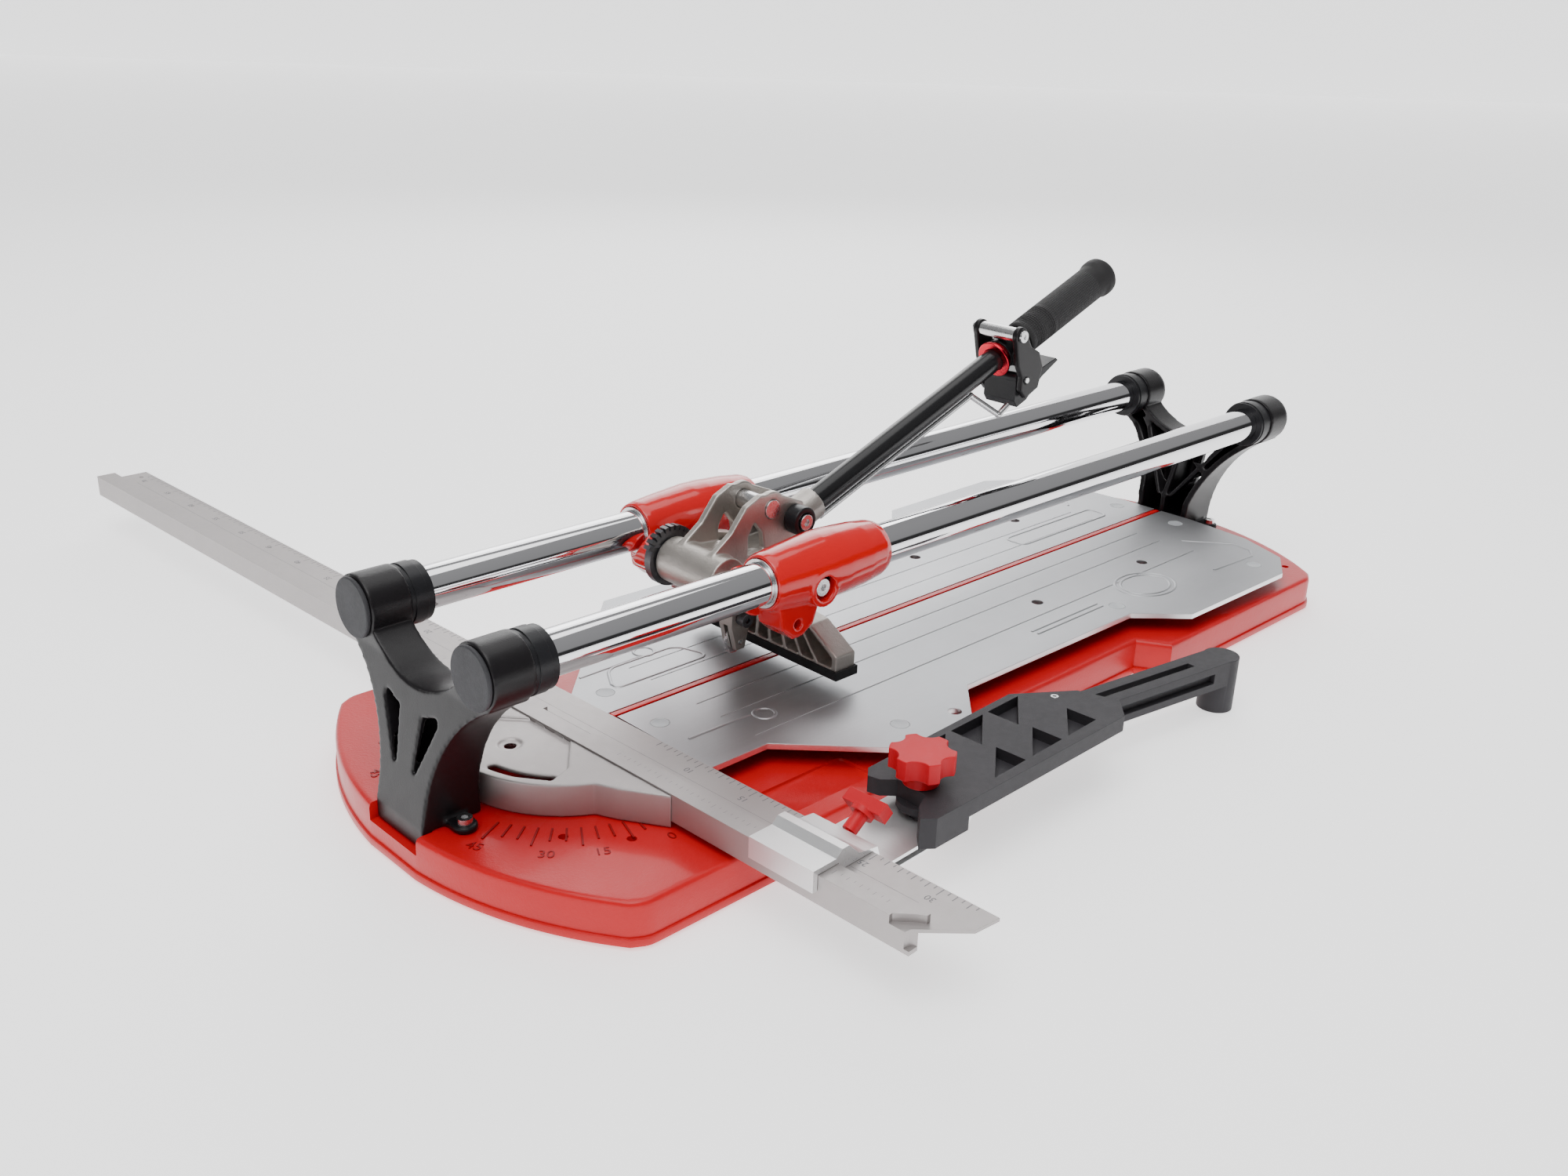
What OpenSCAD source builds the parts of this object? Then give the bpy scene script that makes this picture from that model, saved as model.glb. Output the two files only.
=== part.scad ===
// Manual rail tile cutter: base, sprung tables, twin rails, carriage with handle, square and side gauge.
// +X runs along the rails from the square end, +Z is up, millimetres.
// The origin is on the cutting line at floor level.

/* [Base] */
// Half width of the base at the floor
base_half_w = 177; // [150:1:200]
// Radius of the curved square end
near_arc_r = 281.7; // [240:0.5:320]
// Centre of the curved square end along the rails
near_arc_x = -181.5; // [-220:0.5:-140]
// Radius of the curved handle end
far_arc_r = 274.5; // [240:0.5:320]
// Centre of the curved handle end along the rails
far_arc_x = 188.4; // [140:0.5:220]
// Height of the flat top of the base
base_top = 32; // [26:0.5:40]
// Wall thickness of the base casting
base_wall = 4; // [3:0.5:8]

/* [Rails] */
// Height of the rail axes
rail_z = 149.3; // [120:0.1:180]
// Half of the distance between the rail axes
rail_y = 68.5; // [50:0.5:90]
// Rail radius
rail_r = 15; // [10:0.5:20]
// Square end of the rails
rail_x0 = -436; // [-460:1:-400]
// Handle end of the rails
rail_x1 = 468; // [400:1:500]
// Length of a collar ring
collar_len = 17; // [8:1:24]

/* [Tables] */
// Height of the table tops
table_top = 48; // [44:0.5:56]
// Table plate thickness
table_t = 4.5; // [3:0.5:8]
// Half width of the slit between the tables
slit_half = 4; // [3:0.5:8]

/* [Square] */
// Swivel axis of the square along the rails
pivot_x = -321; // [-340:1:-300]
// Angle at which the square is set
square_angle = 2.2; // [-45:0.1:5]
// Height of the square's front rail
square_top = 56.5; // [52:0.5:62]
// Height of the square's measuring ledge
ledge_top = 51; // [49.5:0.5:54]
// Reach of the square on the far side
square_long = 728; // [400:1:800]
// Reach of the square on the near side
square_short = 341; // [250:1:400]

/* [Carriage] */
// Lever axle position along the rails
axle_x = -205; // [-220:1:-190]
// Lever axle height
axle_z = 137; // [125:0.5:145]
// Axle radius
axle_r = 7; // [5:0.5:9]
// Start of the housings along the rails
house_x0 = -211; // [-220:1:-200]
// Length of a housing
house_len = 112; // [90:1:130]

/* [Handle] */
// Handle rise above the rails, in degrees
handle_angle = 21; // [10:0.5:40]
// Handle tube radius
tube_r = 9.5; // [8:0.5:14]
// Grip radius
grip_r = 15; // [13:0.5:20]
// Scoring wheel radius
wheel_r = 11; // [7:0.5:14]

/* [Hidden] */
$fn = 64;
red = [0.78, 0.05, 0.06];
black = [0.06, 0.06, 0.07];
steel = [0.75, 0.76, 0.78];
alloy = [0.7, 0.7, 0.7];
cast = [0.62, 0.6, 0.57];
grey = [0.2, 0.2, 0.22];
table_bot = table_top - table_t;
handle_x = -130;
handle_z = 149.7;
wheel_x = -171;
wheel_z = 73;
foot_x = -132;
foot_pin_z = 108;
pawl_x = -156;
pawl_z = 142;
stop_x = -176;
stop_z = 124;
star_x = 106;
star_y = -221;
ext_x = 274;
ext_y = -209;
post_spots = [[-240, 60], [-60, 95], [170, 95], [340, 100]];
foot_spots = [[0, 0], [-330, 120], [-330, -120], [330, 120], [330, -120], [60, 118], [60, -118]];

// An outline drawn as x and z, made solid from y0 to y1.
module side_plate(y0, y1) {
  translate([0, y1, 0])
    rotate([90, 0, 0])
      linear_extrude(height = y1 - y0)
        children();
}

// An outline drawn as y and z, made solid from x0 to x1.
module end_plate(x0, x1) {
  translate([x0, 0, 0])
    rotate([90, 0, 90])
      linear_extrude(height = x1 - x0)
        children();
}

// A round bar across the machine.
module cross_bar(x, z, r, y0, y1) {
  translate([x, y1, z])
    rotate([90, 0, 0])
      cylinder(r = r, h = y1 - y0);
}

// A round bar along the rails.
module long_bar(y, z, r, x0, x1) {
  translate([x0, y, z])
    rotate([0, 90, 0])
      cylinder(r = r, h = x1 - x0);
}

// The square's own frame: swivel axis at its origin.
module on_square() {
  translate([pivot_x, 0, 0])
    rotate([0, 0, square_angle])
      children();
}

// The handle's own frame: first axis along the tube.
module on_handle() {
  translate([handle_x, 0, handle_z])
    rotate([0, -handle_angle, 0])
      children();
}

// ---- base ----

module base_outline(inset) {
  w = base_half_w - inset;
  difference() {
    union() {
      translate([-392, -w])
        square([788, 2 * w]);
      intersection() {
        translate([near_arc_x, 0])
          circle(r = near_arc_r - inset, $fn = 256);
        translate([-480, -w])
          square([200, 2 * w]);
      }
      intersection() {
        translate([far_arc_x, 0])
          circle(r = far_arc_r - inset, $fn = 256);
        translate([280, -w])
          square([200, 2 * w]);
      }
    }
    for (s = [-1, 1])
      polygon([[-96 - inset, s * 200], [-84 - inset, s * (152 - inset)],
        [142 + inset, s * (152 - inset)], [172 + inset, s * 200]]);
  }
}

module base_shell() {
  color(red)
  difference() {
    union() {
      translate([0, 0, 2])
        linear_extrude(height = 6)
          base_outline(0);
      translate([0, 0, 8])
        linear_extrude(height = base_top - 11)
          base_outline(1.5);
      translate([0, 0, base_top - 3])
        linear_extrude(height = 3)
          base_outline(4);
    }
    difference() {
      translate([0, 0, 1])
        linear_extrude(height = base_top - base_wall - 1)
          base_outline(4 + base_wall);
      translate([-460, -9, 5.2])
        cube([920, 18, 40]);
      for (x = [-250, -120, 230, 340])
        translate([x, -180, 6])
          cube([5, 360, 40]);
      for (p = foot_spots)
        translate([p[0], p[1], 5.2])
          cylinder(r = 21, h = 40);
    }
    for (p = foot_spots)
      translate([p[0], p[1], 1])
        cylinder(r = 5.1, h = 10.2);
    // seats for the feet of the two supports
    translate([-470, -28.3, 19.7])
      cube([22.3, 56.6, 20]);
    translate([449.7, -28.3, 19.7])
      cube([20, 56.6, 20]);
    translate([pivot_x, 0, 20])
      cylinder(r = 6.02, h = 20);
    for (s = [-1, 1]) {
      translate([-431, s * 39, 20])
        cylinder(r = 3.1, h = 20);
      translate([441, s * 39, 20])
        cylinder(r = 3.1, h = 20);
      // sunken panel beside the square
      translate([-285, s * 144 - 18, base_top - 2])
        cube([105, 36, 4]);
      translate([-360, s * 115.6, base_top - 6])
        cylinder(r = 3.2, h = 10);
      translate([-390.6, s * 86, base_top - 6])
        cylinder(r = 3.2, h = 10);
      translate([404, s * 150, base_top - 6])
        cylinder(r = 4, h = 10);
    }
  }
}

module breaking_bar() {
  color(red)
  side_plate(-2.5, 2.5)
    polygon([[-288, base_top], [406, base_top], [406, 46.3], [404, 48.3], [-286, 48.3], [-288, 46.3]]);
}

module base_feet() {
  color(black)
  for (p = foot_spots)
    translate([p[0], p[1], 0]) {
      cylinder(r1 = 16, r2 = 18, h = 2);
      translate([0, 0, 2])
        cylinder(r = 18, h = 3.2);
      cylinder(r = 5, h = 11);
    }
}

// ---- supports and rails ----

module support_outline(inset) {
  r_side = 95 + inset;
  difference() {
    union() {
      translate([-84, 18])
        square([168, 140]);
      for (s = [-1, 1])
        translate([s * rail_y, rail_z])
          circle(r = 22 - inset);
    }
    for (s = [-1, 1])
      translate([s * (28 + 95), 45])
        circle(r = r_side, $fn = 128);
    for (s = [-1, 1])
      translate([s * (28 - inset) - (s < 0 ? 100 : 0), 10])
        square([100, 35]);
    translate([0, 190.5])
      circle(r = 71 + inset, $fn = 128);
    for (s = [-1, 1])
      difference() {
        translate([s * 80 - 21, 100])
          square([42, 72]);
        translate([s * rail_y, rail_z])
          circle(r = 22 - inset);
        translate([s * 40 - 42, 90])
          square([84, 60]);
      }
  }
}

// Side section of a support; d steps inward from the outer face.
module support_section(foot_front, hub_front, back, d) {
  polygon([[hub_front + d, 176], [hub_front + d, 128], [foot_front + d, 34], [foot_front + d, 20],
    [foot_front + 7, 20], [foot_front + 7, base_top], [back, base_top], [back, 60],
    [hub_front + 29, 120], [hub_front + 29, 176]]);
}

module support_body(foot_front, hub_front, back, wx) {
  front = min(foot_front, hub_front);
  difference() {
    union() {
      intersection() {
        end_plate(front - 2, back + 10)
          support_outline(0);
        side_plate(-120, 120)
          support_section(foot_front, hub_front, back, 0);
      }
      for (s = [-1, 1])
        long_bar(s * rail_y, rail_z, 22, hub_front, hub_front + 29);
      // ears for the fixing bolts
      for (s = [-1, 1])
        translate([wx, s * 39, base_top])
          cylinder(r = 8, h = 5);
      for (s = [-1, 1])
        translate([wx - 8, s * 33 - 7, base_top])
          cube([16, 14, 5]);
    }
    // hollow back with ribs left standing
    difference() {
      intersection() {
        end_plate(front - 2, back + 40)
          support_outline(6);
        side_plate(-120, 120)
          polygon([[hub_front + 6, 176], [hub_front + 6, 128], [foot_front + 7, 60], [foot_front + 7, 37],
            [back + 30, 37], [back + 30, 176]]);
      }
      end_plate(front, back + 6)
        union() {
          translate([-2.5, 20])
            square([5, 110]);
          for (s = [-1, 1]) {
            translate([s * rail_y, rail_z])
              circle(r = 21);
            polygon([[s * 4, 62], [s * 8, 62], [s * 52, 128], [s * 46, 130]]);
            polygon([[s * 3, 112], [s * 3, 106], [s * 40, 84], [s * 44, 88]]);
          }
        }
    }
    for (s = [-1, 1]) {
      long_bar(s * rail_y, rail_z, rail_r, hub_front - 1, hub_front + 60);
      // tall tapered windows in the outer skin
      end_plate(front - 5, foot_front + 26)
        polygon([[s * 10, 66], [s * 12, 65], [s * 31, 104], [s * 29, 108], [s * 13, 103]]);
      translate([wx, s * 39, base_top - 1])
        cylinder(r = 3.2, h = 10);
    }
  }
}

module support_near() {
  color(black)
  support_body(-455, -437, -412, -431);
}

module support_far() {
  color(black)
  mirror([1, 0, 0])
    support_body(-457, -469, -412, -441);
}

module rail(side) {
  color(steel)
  difference() {
    long_bar(side * rail_y, rail_z, rail_r, rail_x0, rail_x1);
    long_bar(side * rail_y, rail_z, 4, rail_x0 - 1, rail_x0 + 25);
    long_bar(side * rail_y, rail_z, 4, rail_x1 - 25, rail_x1 + 1);
  }
}

module rail_right() {
  rail(-1);
}

module rail_left() {
  rail(1);
}

module end_caps() {
  color(grey)
  for (s = [-1, 1]) {
    long_bar(s * rail_y, rail_z, 20.5, -440.2, -437);
    long_bar(s * rail_y, rail_z, 3.9, -437.5, -420);
    long_bar(s * rail_y, rail_z, 20.5, 469, 472.2);
    long_bar(s * rail_y, rail_z, 3.9, 452, 469.5);
  }
}

module collar(x, side) {
  difference() {
    union() {
      long_bar(side * rail_y, rail_z, 20.5, x, x + collar_len);
      long_bar(side * rail_y, rail_z, 21.3, x + 3, x + collar_len - 5);
    }
    long_bar(side * rail_y, rail_z, rail_r, x - 1, x + collar_len + 1);
  }
}

module rail_collars() {
  color(black)
  for (s = [-1, 1]) {
    collar(-408 + 0.2, s);
    collar(440 - collar_len - 0.2, s);
  }
}

module support_bolt(x, y) {
  translate([x, y, base_top + 5]) {
    difference() {
      cylinder(r = 5, h = 4);
      translate([0, 0, 2])
        cylinder(r = 2.5, h = 3, $fn = 6);
    }
    translate([0, 0, -16])
      cylinder(r = 3, h = 17);
  }
}

module support_bolts() {
  color(steel)
  for (s = [-1, 1]) {
    support_bolt(-431, s * 39);
    support_bolt(441, s * 39);
  }
}

// ---- tables ----

module table_posts() {
  color(steel)
  for (s = [-1, 1])
    for (p = post_spots)
      translate([p[0], s * p[1], base_top])
        cylinder(r = 4, h = 7.5);
}

module table_edge_right() {
  polygon([[-284.5, -4], [-284.5, -102], [-232, -102], [-165, -168], [-92, -166], [-57, -133], [155, -135],
    [194, -170], [342, -172], [378, -150], [399, -102], [406, -40], [406, -4]]);
}

module table_edge_left() {
  polygon([[-289, 4], [406, 4], [406, 40], [399, 102], [378, 150], [342, 172], [194, 170], [155, 135],
    [-57, 133], [-92, 166], [-165, 168], [-232, 101], [-289, 44]]);
}

module table_plate(s) {
  difference() {
    translate([0, 0, table_bot])
      linear_extrude(height = table_t)
        children();
    for (p = [[-97, 154.5], [114, 69], [266, 73]])
      translate([p[0], s * p[1], table_bot - 1])
        cylinder(r = 5, h = 10);
    for (p = pad_spots)
      translate([p[0], s * p[1], table_top - 2])
        cylinder(r = 7, h = 5);
    // long pressed grooves
    for (y = [26, 52, 88])
      translate([-230, s * y - 0.6, table_top - 0.6])
        cube([560, 1.2, 2]);
  }
}

pad_spots = [[-142, 142], [384, 34], [341, 143.5], [-268, 31], [160, 118]];

module table_right() {
  color(alloy)
  table_plate(-1)
    table_edge_right();
}

module table_left() {
  color(alloy)
  table_plate(1)
    table_edge_left();
}

module pads(s) {
  color(grey)
  for (p = pad_spots)
    translate([p[0], s * p[1], table_top - 2])
      cylinder(r = 7, h = 2);
}

module pads_right() {
  pads(-1);
}

module pads_left() {
  pads(1);
}

module springs(s) {
  color(steel)
  for (p = post_spots)
    translate([p[0], s * p[1], base_top])
      difference() {
        cylinder(r = 8, h = table_bot - base_top);
        translate([0, 0, -1])
          cylinder(r = 6, h = 20);
      }
}

module springs_right() {
  springs(-1);
}

module springs_left() {
  springs(1);
}

// ---- square ----

module square_pin() {
  color(steel)
  translate([pivot_x, 0, 21]) {
    cylinder(r = 6, h = 28);
    cylinder(r = 6, h = 5);
  }
}

module swivel_block(z, h, inset) {
  difference() {
    translate([0, 0, z])
      union() {
        cylinder(r = 88 - inset, h = h);
        linear_extrude(height = h)
          polygon([[-17, -124 + 2 * inset], [-36 + inset, -92 + inset], [-44 + inset, -74 + inset],
            [-44 + inset, 74 - inset], [-36 + inset, 92 - inset], [-17, 124 - 2 * inset]]);
      }
    translate([-17.6, -150, z - 1])
      cube([300, 300, h + 2]);
  }
}

module arc_slot(r, w, a0, a1) {
  difference() {
    circle(r = r + w);
    circle(r = r - w);
    rotate(a1)
      translate([-200, 0])
        square([400, 200]);
    rotate(a0)
      translate([-200, -200])
        square([400, 200]);
  }
  for (a = [a0, a1])
    rotate(a)
      translate([r, 0])
        circle(r = w);
}

module swivel_body() {
  color(alloy)
  on_square()
    difference() {
      swivel_block(base_top + 0.6, square_top - base_top - 1.6, 0);
      swivel_block(base_top, square_top - base_top - 6, 4);
      // plate set down behind the rail
      translate([0, 0, square_top - 3])
        linear_extrude(height = 5)
          polygon([[-18, 22], [-42, 50], [-60, 56], [-78, 30], [-84, 0], [-78, -30], [-60, -56],
            [-42, -50], [-18, -22]]);
      for (s = [0, 1])
        mirror([0, s, 0])
          linear_extrude(height = 80)
            arc_slot(75.5, 3.2, 190, 222);
      translate([-48, 4, 0])
        cylinder(r = 4, h = 80);
      translate([-48, 4, square_top - 4.4])
        cylinder(r = 8, h = 10);
    }
}

module square_bar() {
  color(alloy)
  on_square()
    difference() {
      union() {
        // front web
        translate([-17.5, -314, 37])
          cube([7.5, 314 + square_long, square_top - 37]);
        // raised rail
        translate([-17.5, -314, 48.8])
          cube([17.5, 314 + square_long, square_top - 48.8]);
        // measuring ledge
        translate([-12, -square_short, 48.6])
          cube([43, square_short + square_long, ledge_top - 48.6]);
        // swivel hub
        translate([0, 0, 33])
          cylinder(r = 9.4, h = 16);
      }
      // oblique end of the ledge
      translate([0, 0, 40])
        linear_extrude(height = 30)
          polygon([[-18, -310], [-13, -311], [12, -336], [31, -338.5], [31, -350], [-18, -350]]);
      // oblique end of the raised rail
      translate([0, 0, ledge_top])
        linear_extrude(height = 20)
          polygon([[-18, -299], [-14.9, -299], [-6, -309], [2, -322], [2, -350], [-18, -350]]);
      // gap where the square's halves meet the cutting line
      translate([-4, -26, ledge_top])
        cube([5, 52, 10]);
      translate([0, 0, 30])
        cylinder(r = 6.05, h = 19.5);
      translate([20, square_long - 14, 40])
        cylinder(r = 2, h = 30);
      // hidden web relief round the swivel
      translate([-18, -20, 30])
        cube([9, 40, 18.8]);
    }
}

// ---- slider and side gauge ----

module slider_section() {
  difference() {
    polygon([[-21.5, 46], [-17.8, 46], [-17.8, 56.8], [0.3, 56.8], [0.3, 51.3], [31.3, 51.3],
      [31.3, 36], [34, 36], [34, 27.5], [126, 27.5], [131, 36], [128, 41], [120, 41], [114, 36],
      [35, 36], [38, 44], [35, 53], [24, 54.5], [18, 56], [9, 65], [3, 65], [-2, 60.5], [-21.5, 60.5]]);
    polygon([[36, 29.5], [123, 29.5], [127.5, 36], [126, 38.5], [123, 38.5], [123, 33.5],
      [37, 33.5]]);
  }
}

module slider() {
  color(alloy)
  on_square()
    difference() {
      side_plate(-246, -194)
        slider_section();
      // threaded seat of the clamping screw
      on_screw()
        translate([0, 0, -12])
          cylinder(r = 3.05, h = 15.4);
      translate([star_x, star_y, 32])
        cylinder(r = 4.02, h = 8);
    }
}

// The clamping screw's own frame: last axis along the screw, out of the slider.
module on_screw() {
  translate([36, -220, 48])
    rotate([0, 55, 0])
      children();
}

module slider_screw() {
  color(red)
  on_square()
    on_screw() {
      translate([0, 0, -5])
        cylinder(r = 3, h = 12);
      translate([0, 0, 3.5])
        cylinder(r = 5, h = 13);
      translate([0, 0, 16])
        cylinder(r = 8, h = 4);
      translate([-5.5, -15, 19])
        cube([11, 30, 9]);
    }
}

module arm_outline(inset) {
  i = inset;
  polygon([[71 + i, -249 + i], [79 + i, -256 + i], [284 - i, -261 + i], [303 - i, -245 + i],
    [294 - i, -215], [252 - i, -184.5 - i], [96 + i, -185.5 - i], [88 + i, -192 - i], [90 + i, -201],
    [98 + i, -209], [96 + i, -233], [82 + i, -239]]);
}

module truss_pocket(a, b, c) {
  translate([0, 0, 50])
    linear_extrude(height = 20)
      polygon([a, b, c]);
}

module gauge_arm() {
  color(grey)
  on_square()
    difference() {
      union() {
        translate([0, 0, 46])
          linear_extrude(height = 12)
            arm_outline(0);
        translate([star_x, star_y, 41.4])
          cylinder(r = 15, h = 5);
        translate([star_x, star_y, 36.4])
          cylinder(r = 7.4, h = 10);
        translate([0, 0, 36.4])
          linear_extrude(height = 10)
            intersection() {
              arm_outline(0);
              translate([62, -262])
                square([49.5, 41]);
            }
      }
      translate([star_x, star_y, 30])
        cylinder(r = 4.1, h = 60);
      for (i = [0 : 2]) {
        truss_pocket([134 + 42 * i, -191], [170 + 42 * i, -191], [134 + 42 * i, -217]);
        truss_pocket([146 + 42 * i, -250], [180 + 42 * i, -250], [180 + 42 * i, -226]);
      }
      translate([ext_x, ext_y, 30])
        cylinder(r = 3.05, h = 60);
    }
}

module star_knob() {
  color(red)
  on_square()
    translate([star_x, star_y, 58.3])
      difference() {
        union() {
          cylinder(r = 12, h = 10);
          translate([0, 0, 9.5])
            difference() {
              cylinder(r = 21.5, h = 14);
              for (i = [0 : 5])
                rotate([0, 0, 60 * i + 30])
                  translate([26, 0, -1])
                    cylinder(r = 9, h = 20);
            }
        }
        translate([0, 0, -1])
          cylinder(r = 4.05, h = 16);
      }
}

module clamp_bolt() {
  color(steel)
  on_square()
    translate([star_x, star_y, 29.7]) {
      cylinder(r = 7, h = 3.6);
      cylinder(r = 4, h = 43);
    }
}

module on_extension() {
  on_square()
    translate([ext_x, ext_y, 0])
      rotate([0, 0, -11])
        children();
}

module gauge_extension() {
  color(grey)
  on_extension()
    difference() {
      union() {
        translate([-14, -13, 25])
          cube([200, 26, 20.6]);
        translate([-14, 0, 25])
          cylinder(r = 13, h = 20.6);
        translate([186, 0, 0.6])
          cylinder(r = 14, h = 45);
      }
      translate([-10, -3.08, 20])
        cube([160, 6.16, 40]);
      translate([-4, -20, 31])
        cube([168, 12, 8]);
    }
}

module extension_screw() {
  color(steel)
  on_extension()
    difference() {
      translate([0, 0, 22])
        union() {
          cylinder(r = 6, h = 2.6);
          cylinder(r = 3, h = 36);
        }
      translate([0, 0, 55])
        cylinder(r = 1.5, h = 5, $fn = 6);
    }
}

// ---- carriage ----

module housing(s) {
  color(red)
  difference() {
    union() {
      translate([house_x0, s * rail_y, rail_z])
        rotate([0, 90, 0])
          rotate_extrude()
            polygon([[0, 0], [19.5, 0], [21, 5], [23, 25], [25, 52], [25, 66], [23.5, 90], [21.5, 106],
              [19.5, house_len], [0, house_len]]);
      // lower lobe
      side_plate(s < 0 ? -83 : 58, s < 0 ? -58 : 83)
        union() {
          polygon([[-207, 142], [-162, 142], [-172, 114], [-182, 107.5], [-192, 107], [-202, 116]]);
          translate([-187, 116])
            circle(r = 9);
        }
      // side boss
      cross_bar(-170, 142, 13.5, s < 0 ? -92 : 70, s < 0 ? -70 : 92);
      // inner boss for the axle
      cross_bar(axle_x, axle_z, 15, s < 0 ? -62 : 38, s < 0 ? -38 : 62);
    }
    long_bar(s * rail_y, rail_z, 17.5, house_x0 - 12, house_x0 + house_len + 1);
    cross_bar(-170, 142, 9, s < 0 ? -93 : 84.5, s < 0 ? -84.5 : 93);
    cross_bar(-187, 117, 3.4, -100, 100);
    cross_bar(axle_x, axle_z, axle_r, -51, 51);
    cross_bar(stop_x, stop_z, 4, 50, 60);
  }
}

module housing_right() {
  housing(-1);
}

module housing_left() {
  housing(1);
}

module rail_bearings() {
  color(steel)
  for (s = [-1, 1])
    for (x = [house_x0 - 0.6, house_x0 + house_len - 29.4])
      difference() {
        long_bar(s * rail_y, rail_z, 17.5, x, x + 30);
        long_bar(s * rail_y, rail_z, rail_r + 0.06, x - 1, x + 31);
      }
}

module carriage_axle() {
  color(steel)
  cross_bar(axle_x, axle_z, axle_r, -50, 50);
}

module ratchet_wheel() {
  color(black)
  difference() {
    union() {
      cross_bar(axle_x, axle_z, 21, 31, 37.5);
      for (i = [0 : 13])
        translate([axle_x, 37.5, axle_z])
          rotate([0, 12 * i - 150, 0])
            translate([19, -6.5, -1.6])
              cube([5.5, 6.5, 3.2]);
    }
    cross_bar(axle_x, axle_z, axle_r, 20, 50);
  }
}

module stop_pin() {
  color(steel)
  difference() {
    cross_bar(stop_x, stop_z, 4, 26, 60);
    cross_bar(stop_x, stop_z, 2, 25, 30);
  }
}

module bearing_screws() {
  color(steel)
  for (s = [-1, 1])
    difference() {
      cross_bar(-170, 142, 6.5, s < 0 ? -89 : 84.6, s < 0 ? -84.6 : 89);
      cross_bar(-170, 142, 2.5, s < 0 ? -90 : 87, s < 0 ? -87 : 90, $fn = 6);
    }
}

// ---- lever and handle ----

module cheek_outline() {
  difference() {
    union() {
      translate([axle_x, axle_z])
        circle(r = 17);
      polygon([[-218, 148], [-192, 166], [-178, 183], [-164, 189], [-148, 187], [-122, 176],
        [-114, 160], [-116, 140], [-150, 128], [-190, 121], [-205, 120]]);
      translate([-152.9, 176.5])
        circle(r = 13);
      translate([-131, 165])
        circle(r = 12);
      polygon([[-146, 134], [-118, 140], [-121, 106], [-143, 106]]);
      translate([foot_x, foot_pin_z])
        circle(r = 8);
    }
    translate([axle_x, axle_z])
      circle(r = axle_r + 0.06);
    polygon([[-176, 160], [-170, 170], [-162, 160], [-160, 148], [-176, 146]]);
  }
}

module lever_casting() {
  color(cast)
  difference() {
    union() {
      side_plate(-18.5, -13)
        cheek_outline();
      side_plate(13, 18.5)
        cheek_outline();
      cross_bar(axle_x, axle_z, 17, -30, 30);
      // core between the cheeks
      side_plate(-13.1, 13.1)
        polygon([[-200, 122], [-190, 121], [-150, 128], [-120, 139], [-120, 147], [-150, 146],
          [-186, 150], [-205, 152]]);
      // socket of the tube
      on_handle()
        rotate([0, 90, 0])
          cylinder(r = 13, h = 40);
      // stem above the scoring wheel
      translate([wheel_x - 10, -9, 100])
        cube([20, 18, 30]);
    }
    cross_bar(axle_x, axle_z, axle_r + 0.06, -40, 40);
    on_handle()
      rotate([0, 90, 0])
        translate([0, 0, -6])
          cylinder(r = tube_r, h = 60);
    cross_bar(-152.9, 176.5, 7, -40, 40);
    cross_bar(-131, 165, 3, -40, 40);
    cross_bar(foot_x, foot_pin_z, 4, -40, 40);
    cross_bar(pawl_x, pawl_z, 2.5, 13, 40);
    translate([wheel_x - 6, -5, 95])
      cube([12, 10, 20]);
  }
}

module cross_roller() {
  color(steel)
  cross_bar(-152.9, 176.5, 7, -19.5, 19.5);
}

module lever_bosses() {
  color(black)
  for (s = [-1, 1])
    difference() {
      cross_bar(-131, 165, 11, s < 0 ? -31 : 18.6, s < 0 ? -18.6 : 31);
      cross_bar(-131, 165, 3, -40, 40);
      cross_bar(-131, 165, 6.5, s < 0 ? -33 : 28, s < 0 ? -28 : 33);
    }
}

module lever_screws() {
  color(steel)
  for (s = [-1, 1])
    difference() {
      union() {
        cross_bar(-131, 165, 6, s < 0 ? -32.5 : 28, s < 0 ? -28 : 32.5);
        cross_bar(-131, 165, 3, s < 0 ? -29 : 13.5, s < 0 ? -13.5 : 29);
      }
      cross_bar(-131, 165, 2.6, s < 0 ? -34 : 30.5, s < 0 ? -30.5 : 34, $fn = 6);
    }
}

module handle_tube() {
  color(black)
  on_handle()
    rotate([0, 90, 0])
      difference() {
        translate([0, 0, -6])
          cylinder(r = tube_r, h = 416);
        translate([0, 0, 30])
          cylinder(r = tube_r - 2, h = 390);
      }
}

module handle_grip() {
  color(grey)
  on_handle()
    rotate([0, 90, 0])
      difference() {
        union() {
          translate([0, 0, 297])
            cylinder(r = grip_r, h = 106);
          translate([0, 0, 403])
            cylinder(r1 = grip_r, r2 = grip_r + 1.8, h = 4);
          translate([0, 0, 407])
            cylinder(r = grip_r + 1.8, h = 6);
          translate([0, 0, 413])
            cylinder(r1 = grip_r + 1.8, r2 = grip_r - 5, h = 7);
        }
        translate([0, 0, 290])
          cylinder(r = tube_r, h = 120.2);
      }
}

module bracket_side() {
  difference() {
    union() {
      translate([276, 19])
        circle(r = 7.5);
      polygon([[269, 20], [266, -4], [268, -16], [264, -26], [268, -36], [286, -35], [296, -20],
        [295, -6], [286, 4], [283, 20]]);
    }
    translate([272, -20])
      circle(r = 2.5);
    translate([276, 19])
      circle(r = 3);
  }
}

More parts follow.
